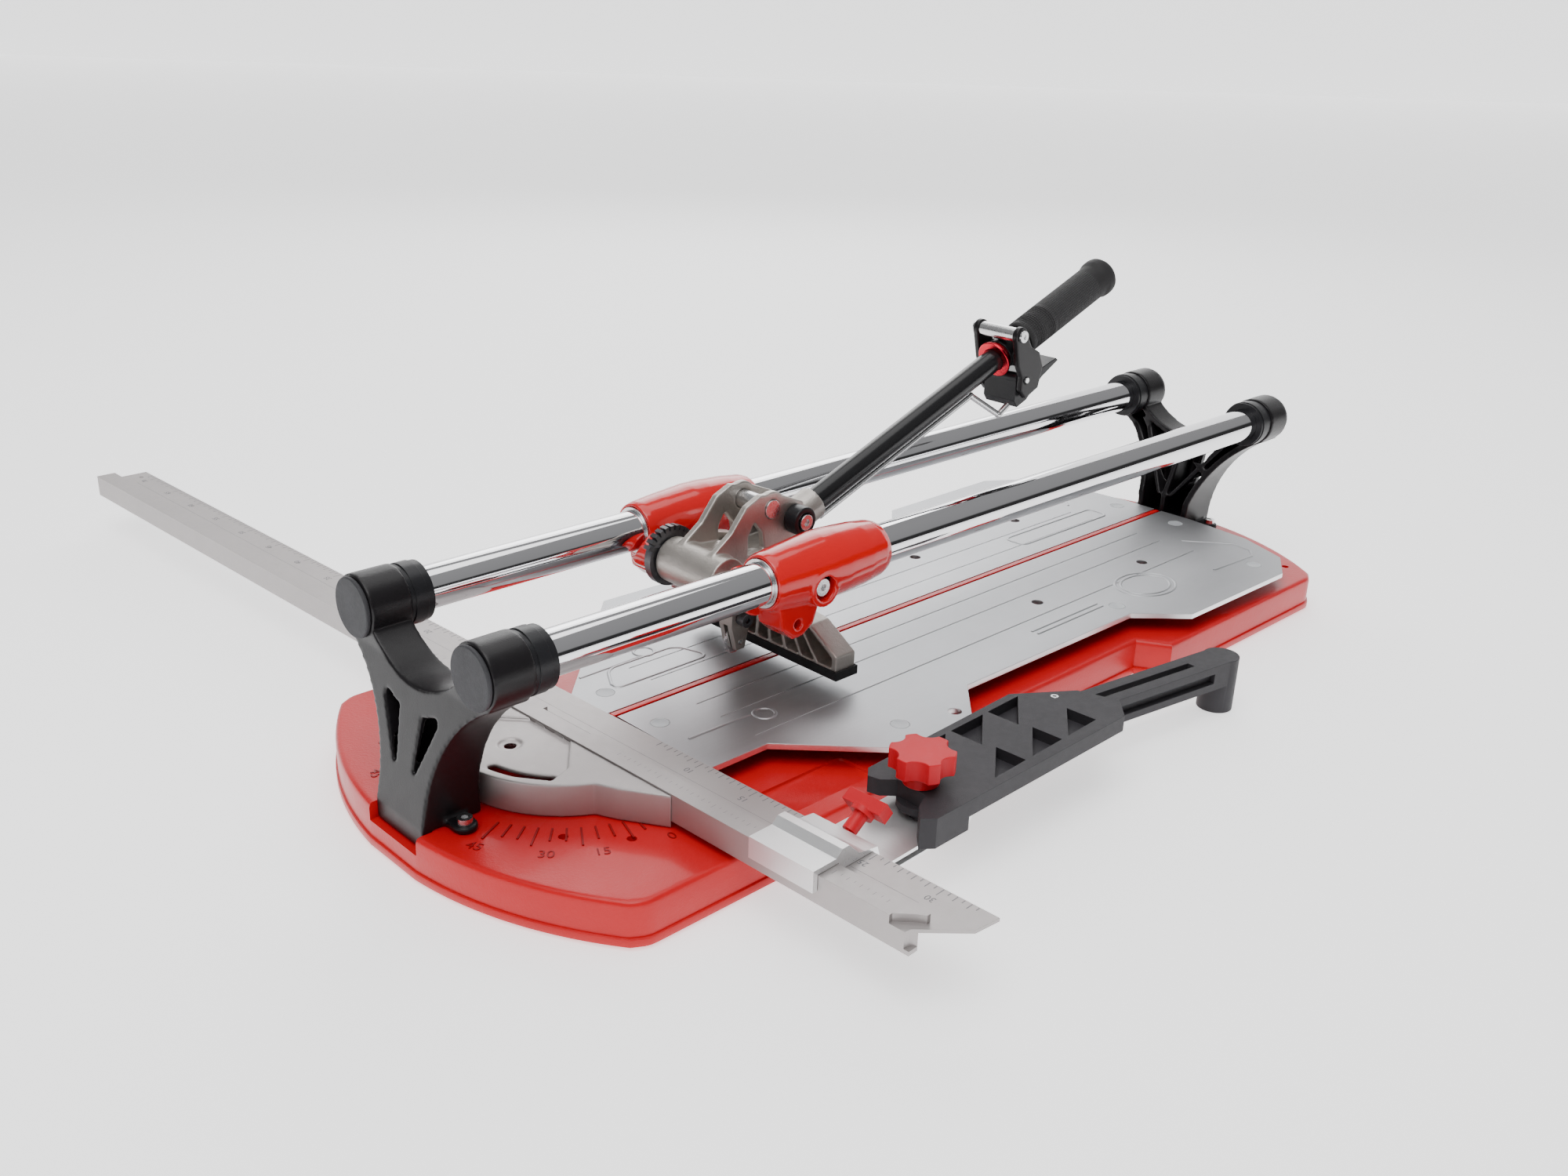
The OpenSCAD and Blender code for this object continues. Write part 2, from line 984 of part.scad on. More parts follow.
module trigger_bracket() {
  color(black)
  on_handle()
    difference() {
      union() {
        side_plate(-23, -18)
          bracket_side();
        side_plate(18, 23)
          bracket_side();
        translate([270, 0, 0])
          rotate([0, 90, 0])
            cylinder(r = 12.9, h = 22);
        translate([272, -19, -9])
          cube([18, 38, 12]);
      }
      translate([200, 0, 0])
        rotate([0, 90, 0])
          cylinder(r = tube_r, h = 100);
      translate([268, -17.9, -40])
        cube([60, 35.8, 26]);
    }
}

module bracket_pin() {
  color(steel)
  on_handle()
    translate([276, 0, 19])
      rotate([90, 0, 0])
        cylinder(r = 6, h = 35.8, center = true);
}

module bracket_screws() {
  color(steel)
  on_handle()
    for (s = [-1, 1])
      difference() {
        union() {
          translate([276, s * 20.5, 19])
            rotate([90, 0, 0])
              cylinder(r = 3, h = 5.1, center = true);
          translate([276, s * 24.4, 19])
            rotate([90, 0, 0])
              cylinder(r = 5, h = 2.7, center = true);
        }
        translate([276, s * 26, 19])
          rotate([90, 0, 0])
            cylinder(r = 2, h = 3, center = true, $fn = 6);
      }
}

module ring_clamp() {
  color(red)
  on_handle()
    rotate([0, 90, 0])
      difference() {
        union() {
          translate([0, 0, 262])
            cylinder(r = 15.5, h = 3);
          translate([0, 0, 264])
            cylinder(r = 12.5, h = 5.8);
        }
        translate([0, 0, 250])
          cylinder(r = tube_r, h = 30);
      }
}

module trigger_pin() {
  color(steel)
  on_handle()
    translate([272, 0, -20])
      rotate([90, 0, 0])
        cylinder(r = 2.5, h = 50, center = true);
}

module trigger() {
  color(black)
  on_handle()
    difference() {
      union() {
        cross_bar(272, -20, 5, -16.5, 16.5);
        side_plate(-16.5, 16.5)
          polygon([[267.2, -20.5], [276.8, -20.5], [300, -26], [322, -28], [324, -31], [300, -34],
            [276, -43], [263, -43], [261, -36]]);
      }
      cross_bar(272, -20, 2.55, -17, 17);
    }
}

module rod_piece(a, b, r) {
  d = b - a;
  n = norm(d);
  translate(a)
    rotate([0, acos(d[2] / n), atan2(d[1], d[0])])
      cylinder(r = r, h = n);
}

module link_rod() {
  pts = [[44, 2, -16.5], [230, 2, -16.5], [244, -12, -40], [257, -12, -38]];
  color(steel)
  on_handle() {
    for (i = [0 : 2])
      rod_piece(pts[i], pts[i + 1], 2.6);
    for (i = [1 : 2])
      translate(pts[i])
        sphere(r = 3);
  }
}

module pawl_outline() {
  translate([pawl_x, pawl_z])
    circle(r = 6);
  polygon([[-155, 148], [-170, 152], [-181.6, 147.5], [-180.6, 142.5], [-160, 137]]);
}

module pawl() {
  color(cast)
  difference() {
    union() {
      side_plate(20, 29.5)
        pawl_outline();
      side_plate(20, 37)
        intersection() {
          pawl_outline();
          translate([-190, 130])
            square([20, 40]);
        }
    }
    cross_bar(pawl_x, pawl_z, 2.55, 10, 50);
  }
}

module pawl_pin() {
  color(steel)
  cross_bar(pawl_x, pawl_z, 2.5, 13.2, 31);
}

// ---- scoring wheel and presser foot ----

module wheel_holder() {
  color(cast)
  difference() {
    union() {
      translate([wheel_x - 5.9, -4.9, 78])
        cube([11.8, 9.8, 36.9]);
      side_plate(-7, 7)
        polygon([[wheel_x - 9, 99.5], [wheel_x + 9, 99.5], [wheel_x + 9, 86], [wheel_x + 4, 67],
          [wheel_x - 4, 67], [wheel_x - 9, 86]]);
    }
    translate([wheel_x - 20, -2.2, 60])
      cube([40, 4.4, 27]);
    cross_bar(wheel_x, wheel_z, 2, -10, 10);
    cross_bar(wheel_x, 92.5, 3, -20, 20);
  }
}

module wheel_bolt() {
  color(grey)
  difference() {
    union() {
      cross_bar(wheel_x, 92.5, 5.5, -15, -7.1);
      cross_bar(wheel_x, 92.5, 3, -9, 6.8);
    }
    cross_bar(wheel_x, 92.5, 2.4, -16, -12, $fn = 6);
  }
}

module wheel_axle() {
  color(steel)
  cross_bar(wheel_x, wheel_z, 2, -6.9, 6.9);
}

module scoring_wheel() {
  color(steel)
  translate([wheel_x, 0, wheel_z])
    rotate([90, 0, 0])
      difference() {
        union() {
          translate([0, 0, -1.6])
            cylinder(r1 = wheel_r - 3, r2 = wheel_r, h = 1.6);
          cylinder(r1 = wheel_r, r2 = wheel_r - 3, h = 1.6);
        }
        cylinder(r = 2.05, h = 10, center = true);
      }
}

module foot_pin() {
  color(steel)
  cross_bar(foot_x, foot_pin_z, 4, -20.5, 20.5);
}

module presser_foot() {
  color(cast)
  difference() {
    union() {
      end_plate(foot_x - 10, foot_x + 10)
        polygon([[-78, 62], [78, 62], [78, 76], [50, 93], [22, 96.5], [-22, 96.5], [-50, 93],
          [-78, 76]]);
      side_plate(-12.4, 12.4)
        union() {
          translate([foot_x, foot_pin_z])
            circle(r = 10);
          translate([foot_x - 10, 92])
            square([20, 16]);
        }
    }
    cross_bar(foot_x, foot_pin_z, 4.05, -30, 30);
    // open front with fan ribs left standing
    difference() {
      end_plate(foot_x - 11, foot_x + 5)
        polygon([[-73, 66], [73, 66], [73, 74], [49, 89.5], [22, 92.5], [-22, 92.5], [-49, 89.5],
          [-73, 74]]);
      end_plate(foot_x - 10, foot_x + 6)
        for (s = [-1, 1])
          for (y = [8, 26, 44, 62])
            polygon([[s * (y - 1.5), 60], [s * (y + 1.5), 60], [s * (y * 0.55 + 1.5), 95],
              [s * (y * 0.55 - 1.5), 95]]);
    }
  }
}

module foot_pad() {
  color(black)
  difference() {
    end_plate(foot_x - 11.5, foot_x + 11.5)
      polygon([[-80, 58], [80, 58], [80, 65], [-80, 65]]);
    end_plate(foot_x - 10.05, foot_x + 10.05)
      polygon([[-78.05, 62], [78.05, 62], [78.05, 70], [-78.05, 70]]);
  }
}

base_shell();
breaking_bar();
base_feet();
support_near();
support_far();
rail_right();
rail_left();
end_caps();
rail_collars();
support_bolts();
table_posts();
square_pin();
table_right();
pads_right();
springs_right();
table_left();
pads_left();
springs_left();
swivel_body();
square_bar();
slider();
slider_screw();
gauge_arm();
star_knob();
clamp_bolt();
gauge_extension();
extension_screw();
housing_right();
housing_left();
rail_bearings();
carriage_axle();
ratchet_wheel();
stop_pin();
bearing_screws();
lever_casting();
cross_roller();
lever_bosses();
lever_screws();
handle_tube();
handle_grip();
trigger_bracket();
bracket_pin();
bracket_screws();
ring_clamp();
trigger_pin();
trigger();
link_rod();
pawl();
pawl_pin();
wheel_holder();
wheel_bolt();
wheel_axle();
scoring_wheel();
foot_pin();
presser_foot();
foot_pad();
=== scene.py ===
"""Looks of a manual rail tile cutter, laid out as an add-on and run as a script."""

import math

import bmesh
import bpy
from bpy.props import FloatProperty, FloatVectorProperty, PointerProperty
from mathutils import Matrix, Vector
from mathutils.geometry import tessellate_polygon


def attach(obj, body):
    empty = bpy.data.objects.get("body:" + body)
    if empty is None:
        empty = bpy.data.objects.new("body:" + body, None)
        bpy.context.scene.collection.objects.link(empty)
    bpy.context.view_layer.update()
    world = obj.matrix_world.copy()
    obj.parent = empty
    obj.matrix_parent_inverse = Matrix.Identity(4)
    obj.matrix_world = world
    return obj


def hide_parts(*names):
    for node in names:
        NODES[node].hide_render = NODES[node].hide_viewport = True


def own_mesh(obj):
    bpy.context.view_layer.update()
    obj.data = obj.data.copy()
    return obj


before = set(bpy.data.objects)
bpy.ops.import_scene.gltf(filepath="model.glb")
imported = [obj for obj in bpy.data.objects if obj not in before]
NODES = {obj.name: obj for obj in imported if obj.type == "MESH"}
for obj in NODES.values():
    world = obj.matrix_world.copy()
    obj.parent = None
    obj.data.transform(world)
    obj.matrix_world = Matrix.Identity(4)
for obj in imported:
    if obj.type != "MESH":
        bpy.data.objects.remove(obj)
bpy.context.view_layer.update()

bl_info = {
    "name": "Tile cutter looks",
    "version": (1, 0, 0),
    "blender": (4, 5, 0),
    "location": "View3D > Sidebar > Tile cutter",
    "description": "Builds the finish and fine detail of a rail tile cutter",
    "category": "Object",
}

MM = 0.001
SQUARE_ANGLE = math.radians(2.2)
SQUARE_PIVOT = Vector((-0.321, 0, 0))
HANDLE_ANGLE = math.radians(21)
HANDLE_START = Vector((-0.130, 0, 0.1497))
GRIP_FROM, KNURL_LENGTH = 0.300, 0.094
KNURLS_AROUND, KNURLS_PER_METRE = 26, 1500


# ---- shader expressions ----


class Signal:
    """One varying value of a finish; Python arithmetic on it adds Math nodes."""

    def __init__(self, finish, socket):
        self.finish = finish
        self.socket = socket

    def _with(self, operation, other, flip=False):
        pair = (other, self) if flip else (self, other)
        node = self.finish.node(
            "ShaderNodeMath", {"operation": operation}, {0: pair[0], 1: pair[1]}
        )
        return Signal(self.finish, node.outputs[0])

    def __add__(self, other):
        return self._with("ADD", other)

    def __sub__(self, other):
        return self._with("SUBTRACT", other)

    def __rsub__(self, other):
        return self._with("SUBTRACT", other, flip=True)

    def __mul__(self, other):
        return self._with("MULTIPLY", other)

    def __gt__(self, other):
        return self._with("GREATER_THAN", other)

    def __lt__(self, other):
        return self._with("LESS_THAN", other)

    def __abs__(self):
        return self._with("ABSOLUTE", 0.0)

    __radd__ = __add__
    __rmul__ = __mul__


class Finish:
    """A node material for one kind of surface, measured in metres on the object."""

    def __init__(
        self, name, color, roughness, metallic=0.0, coat=0.0, coat_roughness=0.1, gloss=0.5
    ):
        self.material = bpy.data.materials.new(name)
        self.material.use_nodes = True
        self.tree = self.material.node_tree
        self.shader = self.tree.nodes["Principled BSDF"]
        self.color = tuple(color)[:3]
        self.shader.inputs["Base Color"].default_value = (*self.color, 1)
        self.shader.inputs["Roughness"].default_value = roughness
        self.shader.inputs["Metallic"].default_value = metallic
        self.shader.inputs["Specular IOR Level"].default_value = gloss
        self.shader.inputs["Coat Weight"].default_value = coat
        self.shader.inputs["Coat Roughness"].default_value = coat_roughness
        self.roughness = roughness
        self.material.diffuse_color = (*self.color, 1)
        place = self.node("ShaderNodeTexCoord")
        self.place = place.outputs["Object"]
        self.facing = place.outputs["Normal"]

    def node(self, kind, settings=None, inputs=None):
        """Adds any node: its settings first, then values or links for its sockets."""
        node = self.tree.nodes.new(kind)
        for key, value in (settings or {}).items():
            setattr(node, key, value)
        for key, value in (inputs or {}).items():
            socket = node.inputs[key]
            if isinstance(value, Signal):
                value = value.socket
            if isinstance(value, bpy.types.NodeSocket):
                self.tree.links.new(value, socket)
            else:
                socket.default_value = value
        return node

    def feed(self, socket, source):
        self.tree.links.new(getattr(source, "socket", source), self.shader.inputs[socket])

    def stretched(self, stretch, turn=0.0):
        """Object coordinates turned about the upright axis, then scaled."""
        node = self.node(
            "ShaderNodeMapping",
            {},
            {"Vector": self.place, "Rotation": (0, 0, turn), "Scale": stretch},
        )
        return node.outputs[0]

    def noise(self, scale, detail=2.0, stretch=None, turn=0.0):
        where = self.stretched(stretch, turn) if stretch else self.place
        node = self.node(
            "ShaderNodeTexNoise", {}, {"Vector": where, "Scale": scale, "Detail": detail}
        )
        return Signal(self, node.outputs[0])

    def cells(self, scale, stretch=None):
        where = self.stretched(stretch) if stretch else self.place
        node = self.node("ShaderNodeTexVoronoi", {}, {"Vector": where, "Scale": scale})
        return Signal(self, node.outputs["Distance"])

    def axes(self, vector=None):
        node = self.node("ShaderNodeSeparateXYZ", {}, {0: vector or self.place})
        return [Signal(self, out) for out in node.outputs]

    def blend(self, factor, first, second):
        """A colour between two others, by factor."""
        node = self.node("ShaderNodeMix", {"data_type": "RGBA"}, {0: factor})
        for index, value in ((6, first), (7, second)):
            if isinstance(value, bpy.types.NodeSocket):
                self.tree.links.new(value, node.inputs[index])
            else:
                node.inputs[index].default_value = (*tuple(value)[:3], 1)
        return node.outputs[2]

    def relief(self, height, depth, strength=1.0):
        node = self.node(
            "ShaderNodeBump", {}, {"Height": height, "Distance": depth, "Strength": strength}
        )
        self.feed("Normal", node.outputs[0])


def tint(color, amount):
    return tuple(min(1.0, c * amount) for c in color[:3])


FINISHES = {}


def finish(name):
    """The material of a finish, made when it is first asked for."""
    if name not in FINISHES:
        FINISHES[name] = RECIPES[name]().material
    return FINISHES[name]


def enamel(name, color, roughness, coat, peel):
    f = Finish(name, color, roughness, 0, coat, 0.08, 0.3)
    patch = f.noise(14, 4)
    f.feed("Base Color", f.blend(patch, tint(color, 0.88), tint(color, 1.08)))
    f.feed("Roughness", roughness + (f.noise(60, 4) - 0.5) * 0.14)
    f.relief(f.noise(520, 2) * 0.6 + f.noise(1600, 1) * 0.4, peel)
    return f


def base_enamel():
    return enamel("base_enamel", settings().base_red, 0.34, 0.12, 0.00022)


def scale_enamel():
    return enamel("scale_enamel", tint(settings().base_red, 0.45), 0.4, 0.0, 0.0001)


def housing_enamel():
    return enamel("housing_enamel", settings().housing_red, 0.16, 0.6, 0.00008)


def knob_plastic():
    color = settings().knob_red
    f = Finish("knob_plastic", color, 0.42, 0, 0.0, 0.3, 0.3)
    f.feed("Base Color", f.blend(f.noise(40, 3), tint(color, 0.85), tint(color, 1.1)))
    f.feed("Roughness", 0.36 + f.noise(220, 3) * 0.16)
    f.relief(f.noise(2400, 2), 0.00010)
    return f


def powder_black():
    color = settings().support_black
    f = Finish("powder_black", color, 0.30, 0, 0.1, 0.25, 0.25)
    f.feed("Base Color", f.blend(f.noise(30, 3), tint(color, 0.8), tint(color, 1.5)))
    f.feed("Roughness", 0.27 + f.noise(90, 4) * 0.14)
    f.relief(f.noise(1400, 3), 0.00012)
    return f


def cap_plastic():
    color = (0.040, 0.040, 0.044)
    f = Finish("cap_plastic", color, 0.62, gloss=0.25)
    f.feed("Base Color", f.blend(f.noise(60, 4), tint(color, 0.75), tint(color, 1.4)))
    f.feed("Roughness", 0.5 + f.noise(300, 3) * 0.2)
    f.relief(f.cells(1600), 0.00016)
    return f


def collar_plastic():
    color = (0.012, 0.012, 0.014)
    f = Finish("collar_plastic", color, 0.34, 0, 0.1, 0.2, 0.25)
    f.feed("Roughness", 0.30 + f.noise(140, 3) * 0.12)
    f.relief(f.noise(1100, 2), 0.00010)
    return f


def arm_plastic():
    color = settings().arm_grey
    f = Finish("arm_plastic", color, 0.5, gloss=0.25)
    f.feed("Base Color", f.blend(f.noise(25, 4), tint(color, 0.85), tint(color, 1.2)))
    f.feed("Roughness", 0.44 + f.noise(200, 4) * 0.16)
    f.relief(f.noise(1900, 3) * 0.7 + f.noise(90, 2) * 0.3, 0.00018)
    return f


def rail_chrome():
    f = Finish("rail_chrome", (0.86, 0.86, 0.88), 0.05, 1.0)
    along = f.noise(1, 3, (30, 900, 900))
    f.feed("Roughness", 0.035 + along * 0.05)
    f.feed("Base Color", f.blend(f.noise(4, 2), (0.82, 0.82, 0.84), (0.90, 0.90, 0.92)))
    return f


def bright_steel():
    f = Finish("bright_steel", (0.72, 0.72, 0.73), 0.22, 1.0)
    f.feed("Roughness", 0.16 + f.noise(260, 4) * 0.18)
    f.feed("Base Color", f.blend(f.noise(90, 3), (0.62, 0.62, 0.63), (0.80, 0.80, 0.80)))
    f.relief(f.noise(1, 2, (700, 2500, 700)), 0.00005)
    return f


def dark_steel():
    f = Finish("dark_steel", (0.10, 0.10, 0.11), 0.34, 0.9)
    f.feed("Base Color", f.blend(f.noise(180, 4), (0.05, 0.05, 0.055), (0.17, 0.17, 0.18)))
    f.feed("Roughness", 0.28 + f.noise(300, 4) * 0.2)
    f.relief(f.noise(900, 3), 0.00012)
    return f


def edge_mask(f, axis=2, limit=0.6):
    """1 on faces that don't look along the axis, such as a plate's sawn edges."""
    return abs(f.axes(f.facing)[axis]) < limit


def table_alloy():
    color = settings().table_grey
    f = Finish("table_alloy", color, 0.42, 1.0)
    streak = f.noise(1, 4, (5, 420, 420))
    cloud = f.noise(7, 5)
    spot = f.noise(70, 3)
    rim = edge_mask(f)
    tone = streak * 0.35 + cloud * 0.45 + spot * 0.2
    face = f.blend(tone, tint(color, 0.80), tint(color, 1.18))
    f.feed("Base Color", f.blend(rim, face, (0.90, 0.90, 0.91)))
    f.feed("Roughness", 0.33 + cloud * 0.16 + streak * 0.10 - rim * 0.12)
    f.relief(streak * 0.6 + f.noise(1, 3, (40, 2600, 2600)) * 0.4, 0.00006)
    return f


def blasted_alloy():
    color = settings().square_grey
    f = Finish("blasted_alloy", color, 0.46, 0.72)
    grain = f.noise(2600, 2)
    f.feed("Base Color", f.blend(f.noise(16, 4), tint(color, 0.93), tint(color, 1.07)))
    f.feed("Roughness", 0.40 + f.noise(180, 3) * 0.14)
    f.relief(grain * 0.5 + f.noise(1, 3, (700, 12, 700), -SQUARE_ANGLE) * 0.5, 0.00009)
    return f


def slider_alloy():
    color = (0.74, 0.74, 0.745)
    f = Finish("slider_alloy", color, 0.36, 0.8)
    cut = abs(f.axes(f.facing)[1]) > 0.9
    body = f.blend(f.noise(20, 3), tint(color, 0.92), tint(color, 1.06))
    f.feed("Base Color", f.blend(cut, body, (0.93, 0.93, 0.93)))
    f.feed("Roughness", 0.34 + f.noise(300, 3) * 0.10 - cut * 0.10)
    f.relief(f.noise(1, 3, (900, 14, 900), -SQUARE_ANGLE), 0.00008)
    return f


def cast_alloy():
    color = settings().casting_grey
    f = Finish("cast_alloy", color, 0.40, 0.85)
    skin = f.noise(420, 4)
    f.feed("Base Color", f.blend(f.noise(45, 4), tint(color, 0.72), tint(color, 1.18)))
    f.feed("Roughness", 0.30 + skin * 0.24)
    f.relief(skin * 0.7 + f.cells(700) * 0.3, 0.00025)
    return f


def plain_rubber():
    f = Finish("plain_rubber", (0.016, 0.016, 0.017), 0.7, gloss=0.2)
    f.feed("Roughness", 0.6 + f.noise(150, 4) * 0.2)
    f.feed("Base Color", f.blend(f.noise(80, 4), (0.010, 0.010, 0.011), (0.030, 0.030, 0.031)))
    f.relief(f.noise(1300, 4), 0.0002)
    return f


def dot_rubber():
    color = (0.46, 0.48, 0.50)
    f = Finish("dot_rubber", color, 0.42, 0, 0.2, 0.3)
    f.feed("Base Color", f.blend(f.noise(120, 4), tint(color, 0.85), tint(color, 1.1)))
    f.feed("Roughness", 0.36 + f.noise(400, 3) * 0.16)
    f.relief(f.noise(900, 3), 0.00012)
    return f


def grip_rubber():
    color = settings().grip_grey
    f = Finish("grip_rubber", color, 0.66, gloss=0.25)
    turned = f.node(
        "ShaderNodeVectorRotate",
        {"rotation_type": "AXIS_ANGLE"},
        {
            "Vector": f.place,
            "Center": tuple(HANDLE_START),
            "Axis": (0, 1, 0),
            "Angle": HANDLE_ANGLE,
        },
    )
    along, across, up = f.axes(turned.outputs[0])
    around = Signal(
        f,
        f.node(
            "ShaderNodeMath", {"operation": "ARCTAN2"}, {0: up - HANDLE_START.z, 1: across}
        ).outputs[0],
    )
    waves = []
    for phase in (
        around * KNURLS_AROUND + along * KNURLS_PER_METRE,
        around * KNURLS_AROUND - along * KNURLS_PER_METRE,
    ):
        sine = f.node("ShaderNodeMath", {"operation": "SINE"}, {0: phase})
        waves.append(Signal(f, sine.outputs[0]))
    start = HANDLE_START.x + GRIP_FROM
    knurled = (along > start) * (along < start + KNURL_LENGTH)
    knurl_height_and_painted_light = (waves[0] * waves[1] * 0.5 + 0.5) * knurled
    # Base colour follows the knurl height: painted shade in the grooves and a painted highlight on
    # the ridges; the same height also drives the bump.
    f.feed("Base Color", f.blend(knurl_height_and_painted_light, tint(color, 0.8), tint(color, 1.35)))
    f.feed("Roughness", 0.55 + f.noise(200, 3) * 0.2)
    f.relief(knurl_height_and_painted_light + f.noise(1500, 3) * 0.3, 0.0005)
    return f


def tube_black():
    f = Finish("tube_black", (0.010, 0.010, 0.011), 0.22, 0, 0.2, 0.12, 0.3)
    f.feed("Roughness", 0.18 + f.noise(60, 4) * 0.12)
    f.relief(f.noise(500, 2), 0.00006)
    return f


def red_anodised():
    f = Finish("red_anodised", (0.62, 0.02, 0.04), 0.22, 1.0)
    f.feed("Base Color", f.blend(f.noise(100, 3), (0.48, 0.01, 0.03), (0.74, 0.04, 0.06)))
    f.feed("Roughness", 0.18 + f.noise(400, 3) * 0.12)
    f.relief(f.noise(1800, 2), 0.00006)
    return f


def scale_ink():
    f = Finish("scale_ink", (0.13, 0.13, 0.14), 0.55, 0.3)
    f.feed("Base Color", f.blend(f.noise(500, 3), (0.10, 0.10, 0.11), (0.22, 0.22, 0.23)))
    f.feed("Roughness", 0.45 + f.noise(700, 2) * 0.2)
    return f


def floor_white():
    f = Finish("floor_white", (0.86, 0.86, 0.865), 0.75)
    f.shader.inputs["Emission Color"].default_value = (1, 1, 1, 1)
    f.shader.inputs["Emission Strength"].default_value = settings().floor_glow
    f.feed("Roughness", 0.7 + f.noise(3, 2) * 0.1)
    return f


RECIPES = {
    r.__name__: r
    for r in (
        base_enamel, scale_enamel, housing_enamel, knob_plastic, powder_black, cap_plastic,
        collar_plastic, arm_plastic, rail_chrome, bright_steel, dark_steel,
        table_alloy, blasted_alloy, slider_alloy, cast_alloy, plain_rubber,
        dot_rubber, grip_rubber, tube_black, red_anodised, scale_ink, floor_white,
    )
}


# ---- mesh helpers ----


def new_piece(name, verts, faces, look, body, stands_for=(), crease=35):
    """A finished mesh piece in the row frame, riding on a body."""
    mesh = bpy.data.meshes.new(name)
    mesh.from_pydata([tuple(v) for v in verts], [], faces)
    mesh.validate()
    edit = bmesh.new()
    edit.from_mesh(mesh)
    bmesh.ops.remove_doubles(edit, verts=edit.verts, dist=1e-6)
    bmesh.ops.recalc_face_normals(edit, faces=edit.faces)
    edit.to_mesh(mesh)
    edit.free()
    mesh.polygons.foreach_set("use_smooth", [True] * len(mesh.polygons))
    mesh.set_sharp_from_angle(angle=math.radians(crease))
    piece = bpy.data.objects.new(name, mesh)
    bpy.context.scene.collection.objects.link(piece)
    mesh.materials.append(finish(look))
    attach(piece, body)
    if stands_for:
        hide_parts(*stands_for)
    return piece


class Builder:
    """Collects vertices and faces of one piece, in millimetres."""

    def __init__(self, place=None):
        self.verts = []
        self.faces = []
        self.place = place or Matrix.Identity(4)

    def add(self, points):
        first = len(self.verts)
        self.verts += [self.place @ (Vector(p) * MM) for p in points]
        return list(range(first, len(self.verts)))

    def strip(self, ring_a, ring_b, closed=True):
        n = len(ring_a)
        for i in range(n if closed else n - 1):
            j = (i + 1) % n
            self.faces.append((ring_a[i], ring_a[j], ring_b[j], ring_b[i]))

    def loft(self, rings, cap_first=False, cap_last=False):
        rows = [self.add(r) for r in rings]
        for a, b in zip(rows, rows[1:]):
            self.strip(a, b)
        if cap_first:
            self.faces.append(tuple(reversed(rows[0])))
        if cap_last:
            self.faces.append(tuple(rows[-1]))
        return rows

    def flat(self, loops, z):
        """A level face with holes; the first loop is the outside."""
        places = [[Vector((x, y, z)) for x, y in loop] for loop in loops]
        ids = [i for loop in places for i in self.add(loop)]
        for face in tessellate_polygon(places):
            self.faces.append(tuple(ids[i] for i in face))

    def box(self, low, high):
        x0, y0, z0 = low
        x1, y1, z1 = high
        a = self.add([(x0, y0, z0), (x1, y0, z0), (x1, y1, z0), (x0, y1, z0)])
        b = self.add([(x0, y0, z1), (x1, y0, z1), (x1, y1, z1), (x0, y1, z1)])
        self.strip(a, b)
        self.faces += [tuple(reversed(a)), tuple(b)]

    def turned(self, profile, centre, axis, count=48):
        """A turned solid; the profile is (distance along the axis, radius)."""
        turn = Vector((0, 0, 1)).rotation_difference(Vector(axis).normalized())
        rings = []
        for along, radius in profile:
            rings.append(
                [
                    Vector(centre)
                    + turn
                    @ Vector(
                        (
                            radius * math.cos(2 * math.pi * i / count),
                            radius * math.sin(2 * math.pi * i / count),
                            along,
                        )
                    )
                    for i in range(count)
                ]
            )
        self.loft(rings, True, True)

    def tube(self, path, radius, count=10):
        """A round bead swept along a path."""
        points = [Vector(p) for p in path]
        rings = []
        side = None
        for i, p in enumerate(points):
            ahead = points[min(i + 1, len(points) - 1)] - points[max(i - 1, 0)]
            ahead.normalize()
            if side is None:
                side = ahead.orthogonal().normalized()
            side = (side - ahead * side.dot(ahead)).normalized()
            other = ahead.cross(side)
            rings.append(
                [
                    p
                    + side * (radius * math.cos(2 * math.pi * k / count))
                    + other * (radius * math.sin(2 * math.pi * k / count))
                    for k in range(count)
                ]
            )
        self.loft(rings, True, True)

    def piece(self, name, look, body, slot, stands_for=(), crease=35):
        return new_piece(
            name, self.verts, self.faces, look, body, stands_for, crease
        )


def circle(x, y, r, count=28):
    step = 2 * math.pi / count
    return [(x + r * math.cos(i * step), y + r * math.sin(i * step)) for i in range(count)]


def rounded(points, radius, steps=5):
    """A closed outline with its corners cut back to arcs of a given reach."""
    out = []
    n = len(points)
    for i in range(n):
        a, p, b = (Vector(points[(i + k) % n]) for k in (-1, 0, 1))
        reach = min(radius, (a - p).length * 0.45, (b - p).length * 0.45)
        start = p + (a - p).normalized() * reach
        end = p + (b - p).normalized() * reach
        for k in range(steps + 1):
            t = k / steps
            out.append(start * (1 - t) ** 2 + p * (2 * t * (1 - t)) + end * t**2)
    return [tuple(q) for q in out]


def add_modifier(piece, kind, **values):
    modifier = piece.modifiers.new(kind.title(), kind)
    for key, value in values.items():
        setattr(modifier, key, value)
    return modifier


def soften(piece, width, segments=2, angle=34):
    """Rounds a piece's edges to a small radius, in millimetres."""
    add_modifier(piece, "WELD", merge_threshold=1e-5)
    add_modifier(
        piece, "DECIMATE", decimate_type="DISSOLVE", angle_limit=math.radians(0.6)
    )
    add_modifier(
        piece,
        "BEVEL",
        width=width * MM,
        segments=segments,
        limit_method="ANGLE",
        angle_limit=math.radians(angle),
        harden_normals=False,
    )
    add_modifier(piece, "WEIGHTED_NORMAL", keep_sharp=True)


def cast_skin(piece, voxel, rounds):
    """Gives a casting soft fillets: an even skin, then a little smoothing."""
    add_modifier(piece, "WELD", merge_threshold=1e-5)
    add_modifier(
        piece, "REMESH", mode="VOXEL", voxel_size=voxel * MM, use_smooth_shade=True
    )
    add_modifier(piece, "SMOOTH", factor=0.5, iterations=rounds)


